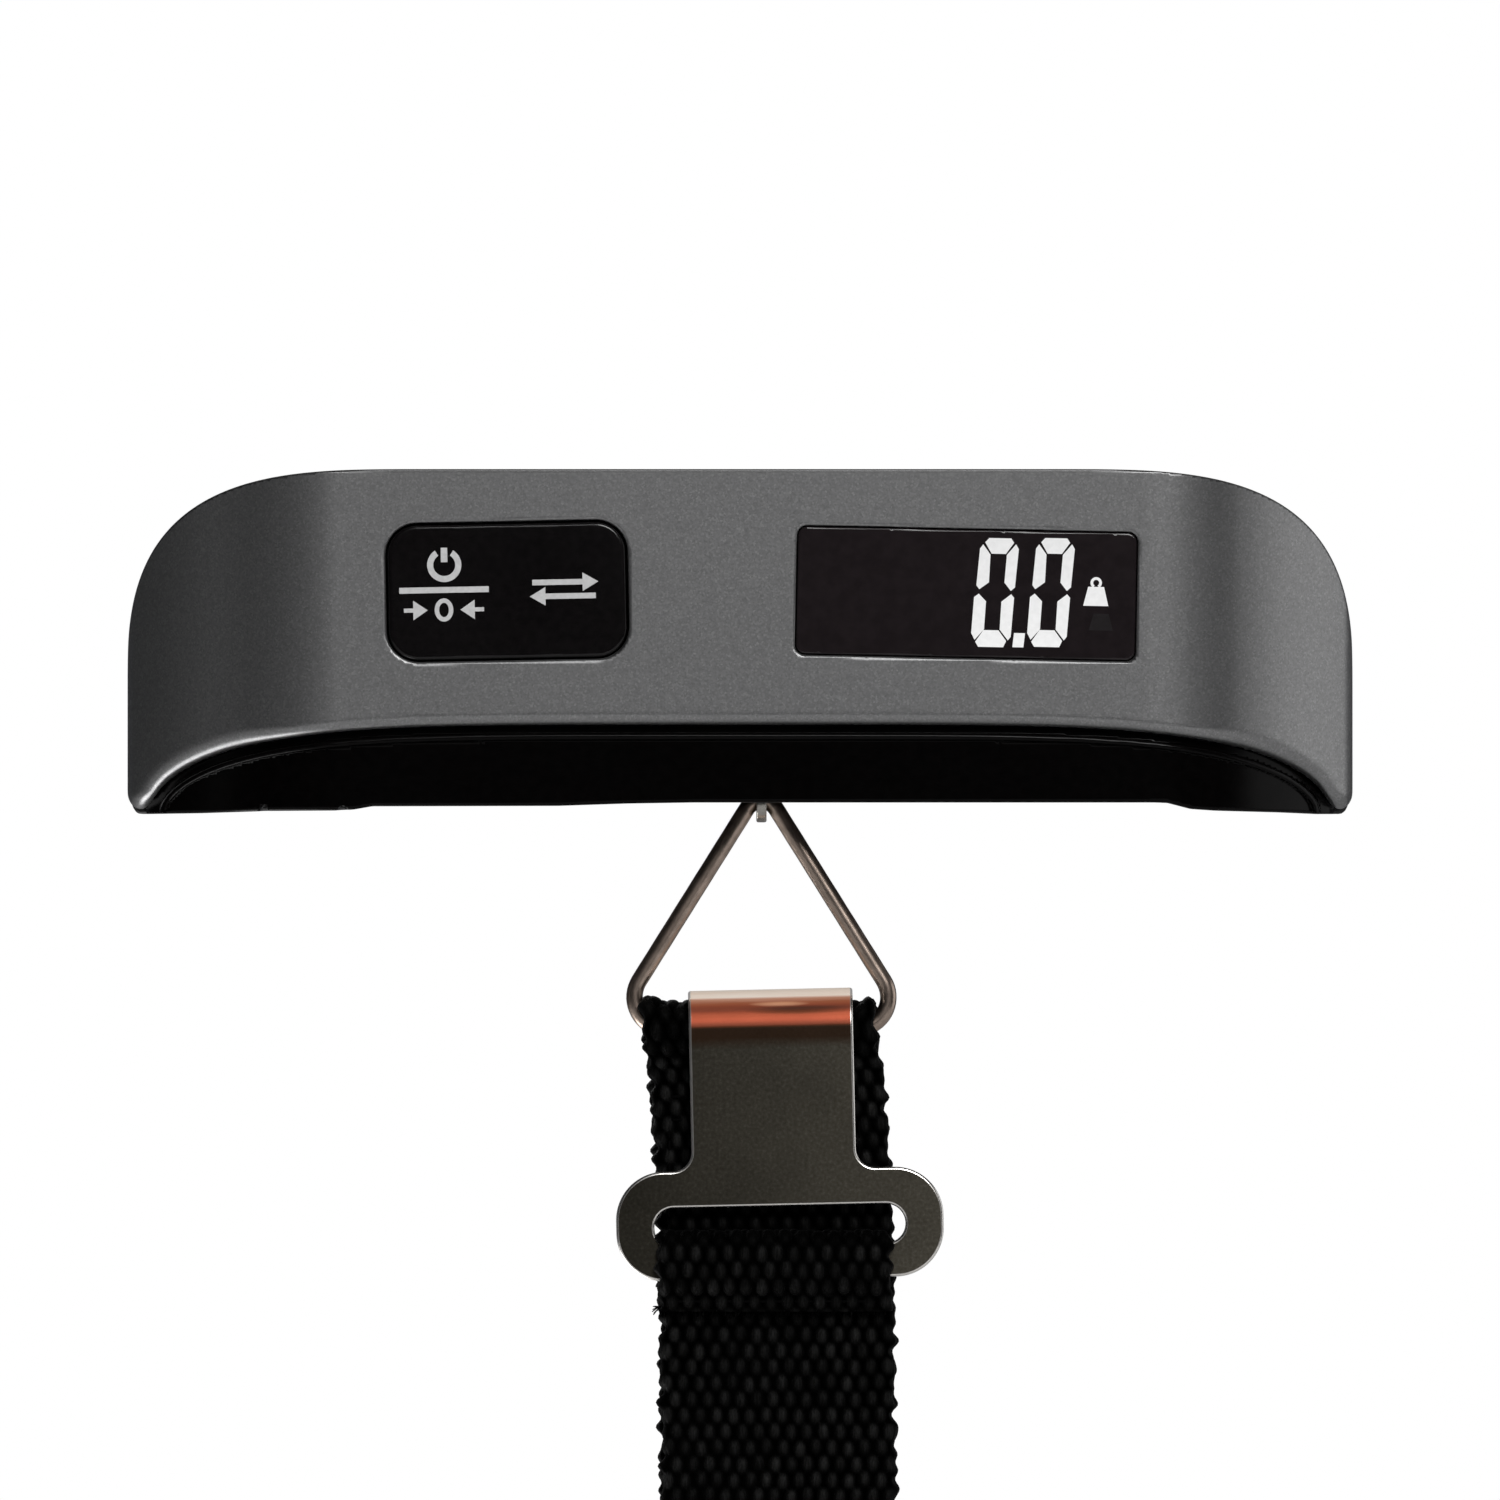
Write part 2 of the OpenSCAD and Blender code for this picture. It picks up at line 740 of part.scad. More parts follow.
// upper half of a tube's section
module half_tube(outer, inner, size) {
  difference() {
    circle(r = outer);
    circle(r = inner);
    translate([-size, -size]) square([2 * size, size]);
  }
}
module hook_plate() {
  color([0.33, 0.3, 0.27]) {
    translate([plate_x, 0, 0]) along_y(-hook_out, -hook_in) plate_outline();
    along_x(plate_x - neck_w / 2, plate_x + neck_w / 2)
      translate([0, bar_z]) half_tube(hook_out, hook_in, 10);
  }
}

// ---- webbing ----

web_x = plate_x;
web_left = web_x - web_w / 2;
web_right = web_x + web_w / 2;

// strap path in (y, z): down the back leg, round the loop, up the front
loop_y = -0.8;
loop_z = -149;
function ease(u) = (1 - cos(180 * u)) / 2;
function leg(top, bottom) = [for (i = [0:13]) let (u = i / 13)
  [top[0] + (bottom[0] - top[0]) * ease(u), top[1] + (bottom[1] - top[1]) * u]];
strap_path = concat(
  leg([0.68, -68], [loop_y + loop_r, loop_z]),
  [for (i = [1:11]) let (a = 180 * i / 12)
    [loop_y + loop_r * cos(a), loop_z - loop_r * sin(a)]],
  reversed(leg([-2.33, -75.2], [loop_y - loop_r, loop_z])));
function unit(v) = v / norm(v);
// the path moved sideways
function beside(path, shift) = [for (i = [0:len(path) - 1])
  let (d = unit(path[min(i + 1, len(path) - 1)] - path[max(i - 1, 0)]))
  [path[i][0] - d[1] * shift, path[i][1] + d[0] * shift]];
function ribbon(path, t) =
  concat(beside(path, t / 2), reversed(beside(path, -t / 2)));

bar_loop_r = 1.6; // inside the loop round the ring's bar
module webbing_strap() {
  color([0.03, 0.03, 0.03]) {
    along_x(ring_x - 10.2, ring_x + 10.2) translate([0, bar_z]) difference() {
      circle(r = bar_loop_r + web_t);
      circle(r = bar_loop_r);
    }
    // doubled part below the bar
    box(web_left, web_right, -web_t, web_t, -70, bar_z - 2.4);
    along_x(web_left, web_right) polygon(ribbon(strap_path, web_t));
  }
}
module stitch(r, y, z) {
  rod_x(r, web_x - 10, web_x + 10, y, z);
}
module strap_stitching() {
  color([0.06, 0.06, 0.06]) for (z = [-66, -63.5, -50, -47.5])
    for (s = [-1, 1]) stitch(0.13, s * (web_t + 0.14), z);
}

// fold through the plate's slot
fold_y = -3.65;
fold_z = -64.75;
fold_r = 0.65;
// front layer of the fold, [y, z]
front_layer = [[-4.3, fold_z], [-4.3, -68.9], [-2.95, -70.6], [-2.95, -72],
  [-4.3, -72], [-4.3, -71.2], [-5.65, -69.6], [-5.65, fold_z]];
module webbing_end_loop() {
  back_layer_y = fold_y + fold_r;
  color([0.03, 0.03, 0.03]) {
    box(web_left, web_right, back_layer_y, back_layer_y + web_t, -75, fold_z);
    along_x(web_left, web_right) translate([fold_y, fold_z])
      half_tube(fold_r + web_t, fold_r, 5);
    along_x(web_left, web_right) polygon(front_layer);
  }
}
module end_stitching() {
  color([0.06, 0.06, 0.06])
    for (at = [[-4.44, -71.8], [-1.5, -71.8], [-1.5, -73.5]])
      stitch(0.12, at[0], at[1]);
}

front_cover();
base_trim();
rear_cover();
battery_door();
door_hinge_pin();
key_cap();
key_pivot_pin();
switch_bodies();
switch_plunger_left();
switch_plunger_right();
display_lens();
lcd_glass();
lcd_frame();
lcd_backlight();
zebra_strips();
main_pcb();
controller_chip();
pcb_components();
coin_cell();
battery_contact_positive();
battery_contact_negative();
battery_wires();
load_cell_beam();
strain_gauges();
gauge_wires();
load_cell_spacer();
backbone_plate();
load_cell_screws();
backbone_screws();
housing_screws();
pcb_screws();
eye_bolt();
eye_nut();
eye_washer();
triangle_ring();
webbing_strap();
strap_stitching();
hook_plate();
webbing_end_loop();
end_stitching();
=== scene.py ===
# A hanging scale: a body with a rocker key and a display, and below it an eye bolt,
# a triangular wire ring, a bent hook plate and a webbing strap sewn into a loop.
# X runs along the body, the front faces -Y, +Z is up. Forms are written in mm;
# materials, lights and camera are in metres.
import math
from functools import reduce
from itertools import product

import bpy
import numpy as np
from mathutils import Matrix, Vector
from mathutils.geometry import delaunay_2d_cdt


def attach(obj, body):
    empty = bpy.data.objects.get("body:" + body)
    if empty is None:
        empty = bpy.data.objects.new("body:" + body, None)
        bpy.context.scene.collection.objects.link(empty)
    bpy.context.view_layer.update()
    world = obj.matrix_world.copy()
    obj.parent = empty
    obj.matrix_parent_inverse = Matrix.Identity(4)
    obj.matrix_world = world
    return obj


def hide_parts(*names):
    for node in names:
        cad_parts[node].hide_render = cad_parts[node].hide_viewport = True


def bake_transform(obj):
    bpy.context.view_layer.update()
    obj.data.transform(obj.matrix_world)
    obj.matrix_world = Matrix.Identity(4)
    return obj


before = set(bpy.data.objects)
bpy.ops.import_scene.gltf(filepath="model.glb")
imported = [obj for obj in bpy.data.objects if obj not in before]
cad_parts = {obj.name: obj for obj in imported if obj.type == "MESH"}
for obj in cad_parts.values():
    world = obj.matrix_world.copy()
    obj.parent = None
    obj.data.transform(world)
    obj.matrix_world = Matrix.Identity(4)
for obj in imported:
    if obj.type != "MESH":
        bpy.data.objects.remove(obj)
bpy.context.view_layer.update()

MM = 0.001

# Body
HALF_LENGTH, HALF_DEPTH = 66.0, 13.5
FLOOR_Z = -18.6
WALL = 1.8

# Key and display: ((x, z) of the middle, tilt in the XZ plane)
KEY = ((-25.0, 5.35), math.radians(1.1))
DISPLAY = ((24.3, 5.1), math.radians(-1.2))

# Battery door and its hinge axis, at the rear
DOOR_X, DOOR_HALF_WIDTH = -46.75, 11.25
HINGE_Y, HINGE_Z = 12.1, 7.2
SCREWS = ((-52, 12), (52, 11.5), (57, -3), (-31.5, -6))  # x, z

# Hanging parts
RING_X, BAR_Z = 2.3, -41.7  # middle of the ring, height of its lower bar
EYE_Z = -17.34
HOOK_X, HOOK_TILT = 3.4, math.radians(1.25)

BLACK, WHITE = (0, 0, 0), (1, 1, 1)


# ---------------------------------------------------------------- mesh tools
def make_mesh(name, verts, faces, body, material, smooth=True, normals=None,
              attribute=None, replaces=None):
    """verts in mm (n, 3); faces an (m, k) array or a list of lists; attribute (name, values)."""
    mesh = bpy.data.meshes.new(name)
    verts = np.asarray(verts, dtype=np.float64) * MM
    if isinstance(faces, np.ndarray):
        count, corners = faces.shape
        mesh.vertices.add(len(verts))
        mesh.vertices.foreach_set("co", verts.astype(np.float32).ravel())
        mesh.loops.add(count * corners)
        mesh.loops.foreach_set("vertex_index", faces.astype(np.int32).ravel())
        mesh.polygons.add(count)
        starts = np.arange(0, count * corners, corners, dtype=np.int32)
        mesh.polygons.foreach_set("loop_start", starts)
    else:
        mesh.from_pydata([tuple(v) for v in verts], [], faces)
    mesh.update(calc_edges=True)
    mesh.validate()
    mesh.polygons.foreach_set("use_smooth", np.full(len(mesh.polygons), smooth))
    if normals is not None and len(normals) == len(mesh.vertices):
        mesh.normals_split_custom_set_from_vertices(normals.tolist())
    piece = bpy.data.objects.new(name, mesh)
    bpy.context.scene.collection.objects.link(piece)
    mesh.materials.append(material)
    if body:
        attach(piece, body)
    if attribute:
        layer = mesh.attributes.new(attribute[0], "FLOAT", "POINT")
        layer.data.foreach_set("value", attribute[1].astype(np.float32))
    if replaces:
        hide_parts(replaces)
    return piece


def gradient(form, points, reach=0.01):
    slope = np.empty_like(points)
    for axis in range(3):
        probe = points.copy()
        probe[:, axis] += reach
        ahead = form(*probe.T)
        probe[:, axis] -= 2 * reach
        slope[:, axis] = (ahead - form(*probe.T)) / (2 * reach)
    return slope


def surface_net(form, low, high, cell):
    """Closed quad mesh of form = 0: one vertex per crossed cell, drawn onto the surface."""
    low = np.array(low, float) - 1.6 * cell
    size = np.ceil((np.array(high, float) + 1.6 * cell - low) / cell).astype(int) + 1
    xs, ys, zs = (low[axis] + cell * np.arange(size[axis]) for axis in range(3))
    field = np.empty(size, dtype=np.float32)
    grid_y, grid_z = np.meshgrid(ys, zs, indexing="ij")
    batch = max(1, int(4e5 // grid_y.size))
    for i in range(0, size[0], batch):
        x = xs[i : i + batch][:, None, None] + 0 * grid_y[None]
        field[i : i + batch] = form(x, grid_y[None] + 0 * x, grid_z[None] + 0 * x)
    field[field == 0] = 1e-6
    inside = field < 0
    corners = np.zeros(size - 1, dtype=np.int8)
    for i, j, k in product((0, 1), repeat=3):
        corners += inside[i : size[0] - 1 + i, j : size[1] - 1 + j, k : size[2] - 1 + k]
    active = (corners > 0) & (corners < 8)
    index = np.full(active.shape, -1, dtype=np.int64)
    cells = np.argwhere(active)
    index[active] = np.arange(len(cells))

    # each vertex starts at the mean of the crossings on its cell's edges
    total = np.zeros((len(cells), 3))
    hits = np.zeros(len(cells))
    for axis in range(3):
        others = [other for other in range(3) if other != axis]
        for offsets in product((0, 1), repeat=2):
            start = cells.copy()
            start[:, others] += offsets
            stop = start.copy()
            stop[:, axis] += 1
            first = field[tuple(start.T)].astype(float)
            last = field[tuple(stop.T)].astype(float)
            hit = (first < 0) != (last < 0)
            crossing = start.astype(float)
            crossing[:, axis] += np.where(hit, first / np.where(hit, first - last, 1), 0)
            total[hit] += crossing[hit]
            hits[hit] += 1
    verts = low + cell * total / hits[:, None]

    # Newton steps onto the surface, kept within reach of the starting point
    origin = verts.copy()
    for _ in range(4):
        slope = gradient(form, verts)
        steepness = np.maximum((slope**2).sum(1), 0.05)
        verts = verts - (form(*verts.T) / steepness)[:, None] * slope
        shift = verts - origin
        length = np.linalg.norm(shift, axis=1)
        verts = origin + shift * np.minimum(1, 0.8 * cell / np.maximum(length, 1e-9))[:, None]
    normals = gradient(form, verts)
    normals /= np.maximum(np.linalg.norm(normals, axis=1), 1e-9)[:, None]

    # one quad round every grid edge that crosses the surface
    quads = []
    for axis in range(3):
        second, third = (axis + 1) % 3, (axis + 2) % 3
        edges = np.argwhere(np.diff(inside, axis=axis))
        ok = (edges[:, second] > 0) & (edges[:, third] > 0)
        ok &= (edges[:, second] < size[second] - 1) & (edges[:, third] < size[third] - 1)
        edges = edges[ok]
        leaving = inside[tuple(edges.T)]
        around = []
        for back_second, back_third in ((1, 1), (0, 1), (0, 0), (1, 0)):
            place = edges.copy()
            place[:, second] -= back_second
            place[:, third] -= back_third
            around.append(index[tuple(place.T)])
        quad = np.stack(around, 1)
        quad[~leaving] = quad[~leaving][:, ::-1]
        quads.append(quad)
    return verts, np.concatenate(quads), normals


def solid(name, form, low, high, cell, body, material, replaces):
    verts, quads, normals = surface_net(form, low, high, cell)
    make_mesh(name, verts, quads, body, material, normals=normals, replaces=replaces)


def tube_quads(rows, around, closed):
    """Quads of a tube whose vertices are stored ring after ring."""
    i, j = np.meshgrid(np.arange(rows if closed else rows - 1), np.arange(around), indexing="ij")
    next_i, next_j = (i + 1) % rows, (j + 1) % around
    quads = [i * around + j, i * around + next_j, next_i * around + next_j, next_i * around + j]
    return np.stack(quads, -1).reshape(-1, 4)


# Signed distances, negative inside. A radius rounds the edge where two forms meet.
def either(*forms):
    return reduce(np.minimum, forms)


def both(*forms):
    return reduce(np.maximum, forms)


def meet(a, b, radius):
    return np.minimum(np.maximum(a, b), -radius) + np.sqrt(
        np.maximum(a + radius, 0) ** 2 + np.maximum(b + radius, 0) ** 2
    )


def join(a, b, radius):
    return -meet(-a, -b, radius)


def cut(form, hole, radius=None):
    return both(form, -hole) if radius is None else meet(form, -hole, radius)


def slab(value, low, high):
    return np.abs(value - (low + high) / 2) - (high - low) / 2


def rounded_rect(across, up, half_width, half_height, radius):
    a = np.abs(across) - half_width + radius
    b = np.abs(up) - half_height + radius
    corner = np.sqrt(np.maximum(a, 0) ** 2 + np.maximum(b, 0) ** 2)
    return corner + np.minimum(np.maximum(a, b), 0) - radius


def box(x, y, z, x0, x1, y0, y1, z0, z1):
    return both(slab(x, x0, x1), slab(y, y0, y1), slab(z, z0, z1))


def smooth_step(value):
    value = np.clip(value, 0, 1)
    return value * value * (3 - 2 * value)


def local(x, z, place):
    """Coordinates across and up from a tilted middle."""
    (mid_x, mid_z), tilt = place
    dx, dz = x - mid_x, z - mid_z
    cos, sin = math.cos(tilt), math.sin(tilt)
    return dx * cos + dz * sin, -dx * sin + dz * cos


# -------------------------------------------------------------- material kit
def math_operator(operation, swapped=False):
    def apply(self, other):
        pair = (other, self) if swapped else (self, other)
        return self.material.math(operation, *pair)
    return apply


class Value:
    """A shader output; arithmetic on it adds Math nodes."""

    def __init__(self, material, socket):
        self.material, self.socket = material, socket

    __add__ = math_operator("ADD")
    __radd__ = math_operator("ADD", swapped=True)
    __sub__ = math_operator("SUBTRACT")
    __rsub__ = math_operator("SUBTRACT", swapped=True)
    __mul__ = math_operator("MULTIPLY")
    __truediv__ = math_operator("DIVIDE")
    __pow__ = math_operator("POWER")


class Material:
    def __init__(self, name):
        self.data = bpy.data.materials.new(name)
        self.data.use_nodes = True
        self.tree = self.data.node_tree
        self.point = self.make("ShaderNodeTexCoord", "Object")

    def feed(self, socket, value):
        if isinstance(value, Value):
            self.tree.links.new(value.socket, socket)
        else:
            socket.default_value = (*value, 1) if socket.type == "RGBA" else value

    def make(self, kind, output, inputs=None, **settings):
        """Adds a node and returns one of its outputs."""
        node = self.tree.nodes.new(kind)
        for key, value in settings.items():
            setattr(node, key, value)
        for key, value in (inputs or {}).items():
            self.feed(node.inputs[key], value)
        return Value(self, node.outputs[output])

    def set(self, **inputs):
        """Feeds the Principled shader; underscores stand for spaces."""
        shader = self.tree.nodes["Principled BSDF"]
        for key, value in inputs.items():
            self.feed(shader.inputs[key.replace("_", " ")], value)

    def noise(self, scale, detail=3.0, rough=0.55, stretch=None, turn=(0, 0, 0)):
        point = self.point
        if stretch:
            mapping = {"Vector": point, "Scale": stretch, "Rotation": turn}
            point = self.make("ShaderNodeMapping", "Vector", mapping)
        inputs = {"Vector": point, "Scale": scale, "Detail": detail, "Roughness": rough}
        return self.make("ShaderNodeTexNoise", "Fac", inputs)

    def ramp(self, value, stops):
        color = self.make("ShaderNodeValToRGB", "Color", {"Fac": value})
        elements = color.socket.node.color_ramp.elements
        while len(elements) < len(stops):
            elements.new(0.5)
        for element, (position, rgb) in zip(elements, stops):
            element.position = position
            element.color = (*rgb, 1)
        return color

    def fade(self, value, start, end):
        """Rises from 0 at start to 1 at end."""
        return self.ramp(value, [(start, BLACK), (end, WHITE)])

    def math(self, operation, a, b, clamp=False):
        return self.make("ShaderNodeMath", 0, {0: a, 1: b}, operation=operation, use_clamp=clamp)

    def mix(self, factor, a, b, blend="MIX"):
        inputs = {0: factor, 6: a, 7: b}  # the colour sockets of the Mix node
        return self.make("ShaderNodeMix", 2, inputs, data_type="RGBA", blend_type=blend)

    def bump(self, height, strength, distance):
        inputs = {"Strength": strength, "Distance": distance, "Height": height}
        return self.make("ShaderNodeBump", "Normal", inputs)

    def split(self, vector):
        x = self.make("ShaderNodeSeparateXYZ", 0, {0: vector})
        return [Value(self, socket) for socket in x.socket.node.outputs]

    def edges(self, start, end):
        return self.fade(self.make("ShaderNodeNewGeometry", "Pointiness"), start, end)

    def attribute(self, name):
        return self.make("ShaderNodeAttribute", "Fac", attribute_name=name)


def gray(level):
    return (level, level, level)


def toned(color, factor, lift=0):
    return tuple(min(1, channel * factor + lift) for channel in color)


def plastic(name, color, rough, grain=2500, bump=0.15, var=0.12, coat=0.0, spec=0.5, edge_paling=0.0):
    """var is how far the grain varies the colour, wear how much the edges pale."""
    m = Material(name)
    fine = m.noise(grain, detail=2)
    broad = m.noise(60, detail=4)
    base = m.ramp(fine, [(0.35, toned(color, 1 - var)), (0.65, toned(color, 1 + var))])
    if edge_paling:
        base = m.mix(m.edges(0.52, 0.6) * edge_paling, base, toned(color, 2.2, lift=0.02))
    m.set(Base_Color=base, Roughness=broad * 0.12 + (rough - 0.06),
          Normal=m.bump(fine, bump, distance=0.00003),
          Specular_IOR_Level=spec, Coat_Weight=coat, Coat_Roughness=0.08)
    return m.data


def metal(name, color, rough, grain=900, stretch=(1, 1, 1), var=0.1, bump=0.1, edge_paling=0.5):
    m = Material(name)
    fine = m.noise(grain, detail=4, rough=0.6, stretch=stretch)
    broad = m.noise(120)
    base = m.ramp(fine, [(0.3, toned(color, 1 - var)), (0.7, toned(color, 1 + var))])
    # edges paler by pointiness: partly wear, partly a painted highlight on rounded edges
    base = m.mix(m.edges(0.53, 0.62) * edge_paling, base, toned(color, 1.6, lift=0.1))
    m.set(Base_Color=base, Roughness=broad * 0.15 + (rough - 0.07), Metallic=1.0,
          Normal=m.bump(fine, bump, distance=0.00002))
    return m.data


def cover_grey():
    """Satin grey paint with fine metallic flake."""
    m = Material("cover_grey_satin")
    flakes = m.make("ShaderNodeTexVoronoi", "Color", {"Scale": 5200, "Vector": m.point},
                    feature="F1")
    flake = m.ramp(flakes, [(0.0, (0.215, 0.215, 0.217)), (0.7, (0.285, 0.285, 0.287)),
                            (1.0, gray(0.36))])
    base = m.mix(m.noise(45, detail=4) * 0.18, flake, gray(0.2))
    fine = m.noise(3800, detail=2)
    _, normal_y, normal_z = m.split(m.make("ShaderNodeNewGeometry", "Normal"))
    _, _, z = m.split(m.point)
    # painted shade: the paint is darkened on small edges that face up and forward, and on the
    # top rim, to hold back the bright highlight they would catch
    ledge_shade = m.fade(normal_z, 0.05, 0.26) * m.fade(normal_y * -1.0, 0.25, 0.5)
    above_rim = m.math("MULTIPLY", z - 0.01802, 9000.0, clamp=True)
    facing_front = m.math("MULTIPLY", normal_y * -1.0 - 0.02, 12.0, clamp=True)
    top_rim_shade = above_rim * facing_front
    base = m.mix(m.math("MAXIMUM", ledge_shade * 0.62, top_rim_shade * 0.85), base, gray(0.03))
    # where the surface faces up it is more matt and a little darker
    facing_up = m.fade(normal_z, 0.6, 0.92)
    base = m.mix(facing_up * 0.45, base, (0.06, 0.06, 0.061))
    m.set(Base_Color=base, Metallic=0.85, Roughness=fine * 0.1 + (0.3 + facing_up * 0.38),
          Normal=m.bump(fine, strength=0.12, distance=0.00003))
    return m.data


def hook_nickel():
    """Tumbled nickel; the warm colour in the bend is a painted reflection, and the pale edges
    and pale crown of the bend are painted highlights.
    """
    m = Material("hook_nickel_plate")
    x, _, z = m.split(m.point)
    grain, cloud = m.noise(2600), m.noise(160, detail=4)
    color = m.ramp(grain, [(0.3, (0.052, 0.047, 0.036)), (0.55, (0.069, 0.063, 0.05)),
                           (0.75, (0.094, 0.086, 0.07))])
    # painted light: darker to the left and a little paler towards the right
    right = m.math("ADD", x * 30.0, 0.35, clamp=True)
    color = m.mix(right, m.mix(1.0, color, gray(0.55), "MULTIPLY"),
                  m.mix(1.0, color, gray(1.5), "MULTIPLY"))
    # bend: 0 where the plate's bend begins, 1 at its top, allowing for the tilt
    above_bar = (z + -BAR_Z * MM) - x * 0.0218
    bend = (above_bar + 0.00007) / 0.00425
    streaks = m.noise(1.0, detail=4, rough=0.6, stretch=(60, 900, 900))
    uneven = bend + (streaks - 0.5) * 0.16
    # painted shade: darker and browner just below the bend
    color = m.mix(m.fade(uneven + 0.6, 0.1, 0.38) * 0.88, color, (0.036, 0.018, 0.01))
    # painted reflection: copper tones in the polished bend stand in for warm surroundings
    # reflected there
    warm_reflection = m.ramp(uneven, [
        (0.05, (0.1, 0.03, 0.014)), (0.11, (0.17, 0.045, 0.025)), (0.22, (0.18, 0.04, 0.021)),
        (0.34, (0.15, 0.034, 0.017)), (0.48, (0.2, 0.047, 0.024)), (0.58, (0.33, 0.075, 0.032)),
        (0.68, (0.4, 0.12, 0.055)), (0.78, (0.66, 0.32, 0.21)),
    ])

    def spot(mid_x, half_x, mid_bend, half_bend):
        dx = (x - mid_x) / half_x
        dz = (uneven - mid_bend) / half_bend
        return m.ramp(dx * dx + dz * dz, [(0.0, WHITE), (1.0, BLACK)])

    # painted reflection: a pale highlight streak on the bend, and a dark streak under it
    pale = spot(mid_x=0.0042, half_x=0.0034, mid_bend=0.63, half_bend=0.09)
    warm_reflection = m.mix(pale * 0.8, warm_reflection, (0.85, 0.42, 0.24))
    dark = spot(mid_x=0.0062, half_x=0.0058, mid_bend=0.47, half_bend=0.11)
    warm_reflection = m.mix(dark * 0.85, warm_reflection, (0.06, 0.02, 0.01))
    color = m.mix(m.fade(bend, 0.04, 0.1), color, warm_reflection)
    # painted highlight: the crown of the bend gets a pale colour and a faint glow, standing in
    # for a reflection of light
    crown = m.fade(bend, 0.765, 0.82)
    bright = m.ramp(streaks, [(0.3, (0.8, 0.64, 0.52)), (0.7, (0.88, 0.78, 0.68))])
    color = m.mix(crown, color, bright)
    # painted highlight: the rounded edges are pale and less rough
    edge = m.attribute("edge")
    color = m.mix(edge, color, (0.93, 0.9, 0.86))
    # less metallic over the bend, so that the painted reflection there shows as colour
    painted_bend = m.fade(bend, 0.45, 0.63)
    m.set(Base_Color=color, Metallic=1.0 - painted_bend * (1.0 - edge) * 0.85,
          Roughness=cloud * 0.12 + 0.34 - edge * 0.12,
          Normal=m.bump(grain, strength=0.12, distance=0.00003),
          Emission_Color=color, Emission_Strength=crown * 0.24)
    return m.data


def webbing_yarn():
    """Black twisted yarn; the yarn attribute is 1 on the crown of a knuckle, where a highlight
    is painted.
    """
    m = Material("webbing_black_yarn")
    yarn = m.attribute("yarn")
    fiber = m.noise(1.0, rough=0.5, stretch=(5200, 5200, 900), turn=(0, 0.2, 0))
    # painted highlight and shade: colour and specular level rise with the yarn attribute,
    # lighter on knuckle crowns and darker in the gaps
    color = m.ramp(yarn, [(0.0, gray(0.0001)), (0.4, (0.0007, 0.0007, 0.00065)),
                          (1.0, (0.0034, 0.0033, 0.003))])
    cloud = m.fade(m.noise(90), 0.42, 0.62)
    color = m.mix(cloud * 0.7, color, (0.0009, 0.0009, 0.00085))
    strand = m.ramp(fiber, [(0.35, gray(0.35)), (0.65, WHITE)])
    m.set(Base_Color=color, Roughness=fiber * 0.25 + 0.5,
          Normal=m.bump(fiber, strength=0.9, distance=0.00016),
          Sheen_Weight=0.02, Sheen_Roughness=0.4,
          Specular_IOR_Level=yarn**2.0 * 0.22 * strand)
    return m.data


def lit_segment():
    m = Material("segment_lit")
    glow = m.ramp(m.noise(1500, detail=2), [(0.3, gray(0.8)), (0.7, gray(0.9))])
    _, _, z = m.split(m.point)
    # a little brighter towards the bottom of the display
    m.set(Base_Color=gray(0.3), Roughness=0.5, Emission_Color=glow,
          Emission_Strength=0.71 - z * 9.0)
    return m.data


COVER_GREY = cover_grey()
BASE_BLACK = plastic("base_gloss_black", color=(0.0012, 0.0010, 0.0010), rough=0.2, grain=900,
                     bump=0.02, var=0.3, spec=0.09, edge_paling=0.02)
REAR_BLACK = plastic("rear_soft_black", color=(0.012, 0.012, 0.0125), rough=0.52, grain=1500,
                     bump=0.55, var=0.25, spec=0.4, edge_paling=0.05)
DOOR_BLACK = plastic("door_soft_black", color=(0.013, 0.013, 0.0135), rough=0.5, grain=1500,
                     bump=0.5, var=0.25, spec=0.4, edge_paling=0.06)
KEY_BLACK = plastic("key_gloss_black", color=(0.0032, 0.0026, 0.0028), rough=0.2, grain=1100,
                    bump=0.03, var=0.3, coat=0.05, spec=0.3, edge_paling=0.02)
LENS_SMOKE = plastic("lens_smoke", color=(0.0135, 0.0103, 0.0113), rough=0.14, grain=700,
                     bump=0.01, coat=0.05, spec=0.3)
# the warm brownish tint of the nickel wire is a painted reflection of warm surroundings
RING_NICKEL = metal("ring_nickel_wire", color=(0.43, 0.342, 0.285), rough=0.3, grain=700,
                    var=0.22, bump=0.06, edge_paling=0.3)
EYE_NICKEL = metal("eye_nickel", color=(0.4, 0.38, 0.35), rough=0.28, var=0.15)
INK = plastic("legend_ink", color=gray(0.6), rough=0.55, bump=0.08, var=0.06, spec=0.3)
HOOK_NICKEL = hook_nickel()
WEBBING = webbing_yarn()
THREAD = plastic("thread_black", color=gray(0.0007), rough=0.7, grain=5000, bump=0.4, var=0.3,
                 spec=0.03)
LIT = lit_segment()
GHOST = plastic("segment_ghost", color=(0.0185, 0.0165, 0.0172), rough=0.2, grain=900,
                bump=0.01, var=0.1, spec=0.2)


# ------------------------------------------------------- the body's own form
# Plan outline from the middle of the front round to the back: three arcs, each
# tangent to the next, and a back corner. Angles are measured from -Y.
FRONT_R, FLANK_R, SIDE_R, BACK_R = 18.0, 46.0, 6.0, 8.0
FRONT_END, FLANK_END = math.radians(35), math.radians(55)


def arc_point(center, radius, angle):
    return center[0] + radius * math.sin(angle), center[1] - radius * math.cos(angle)


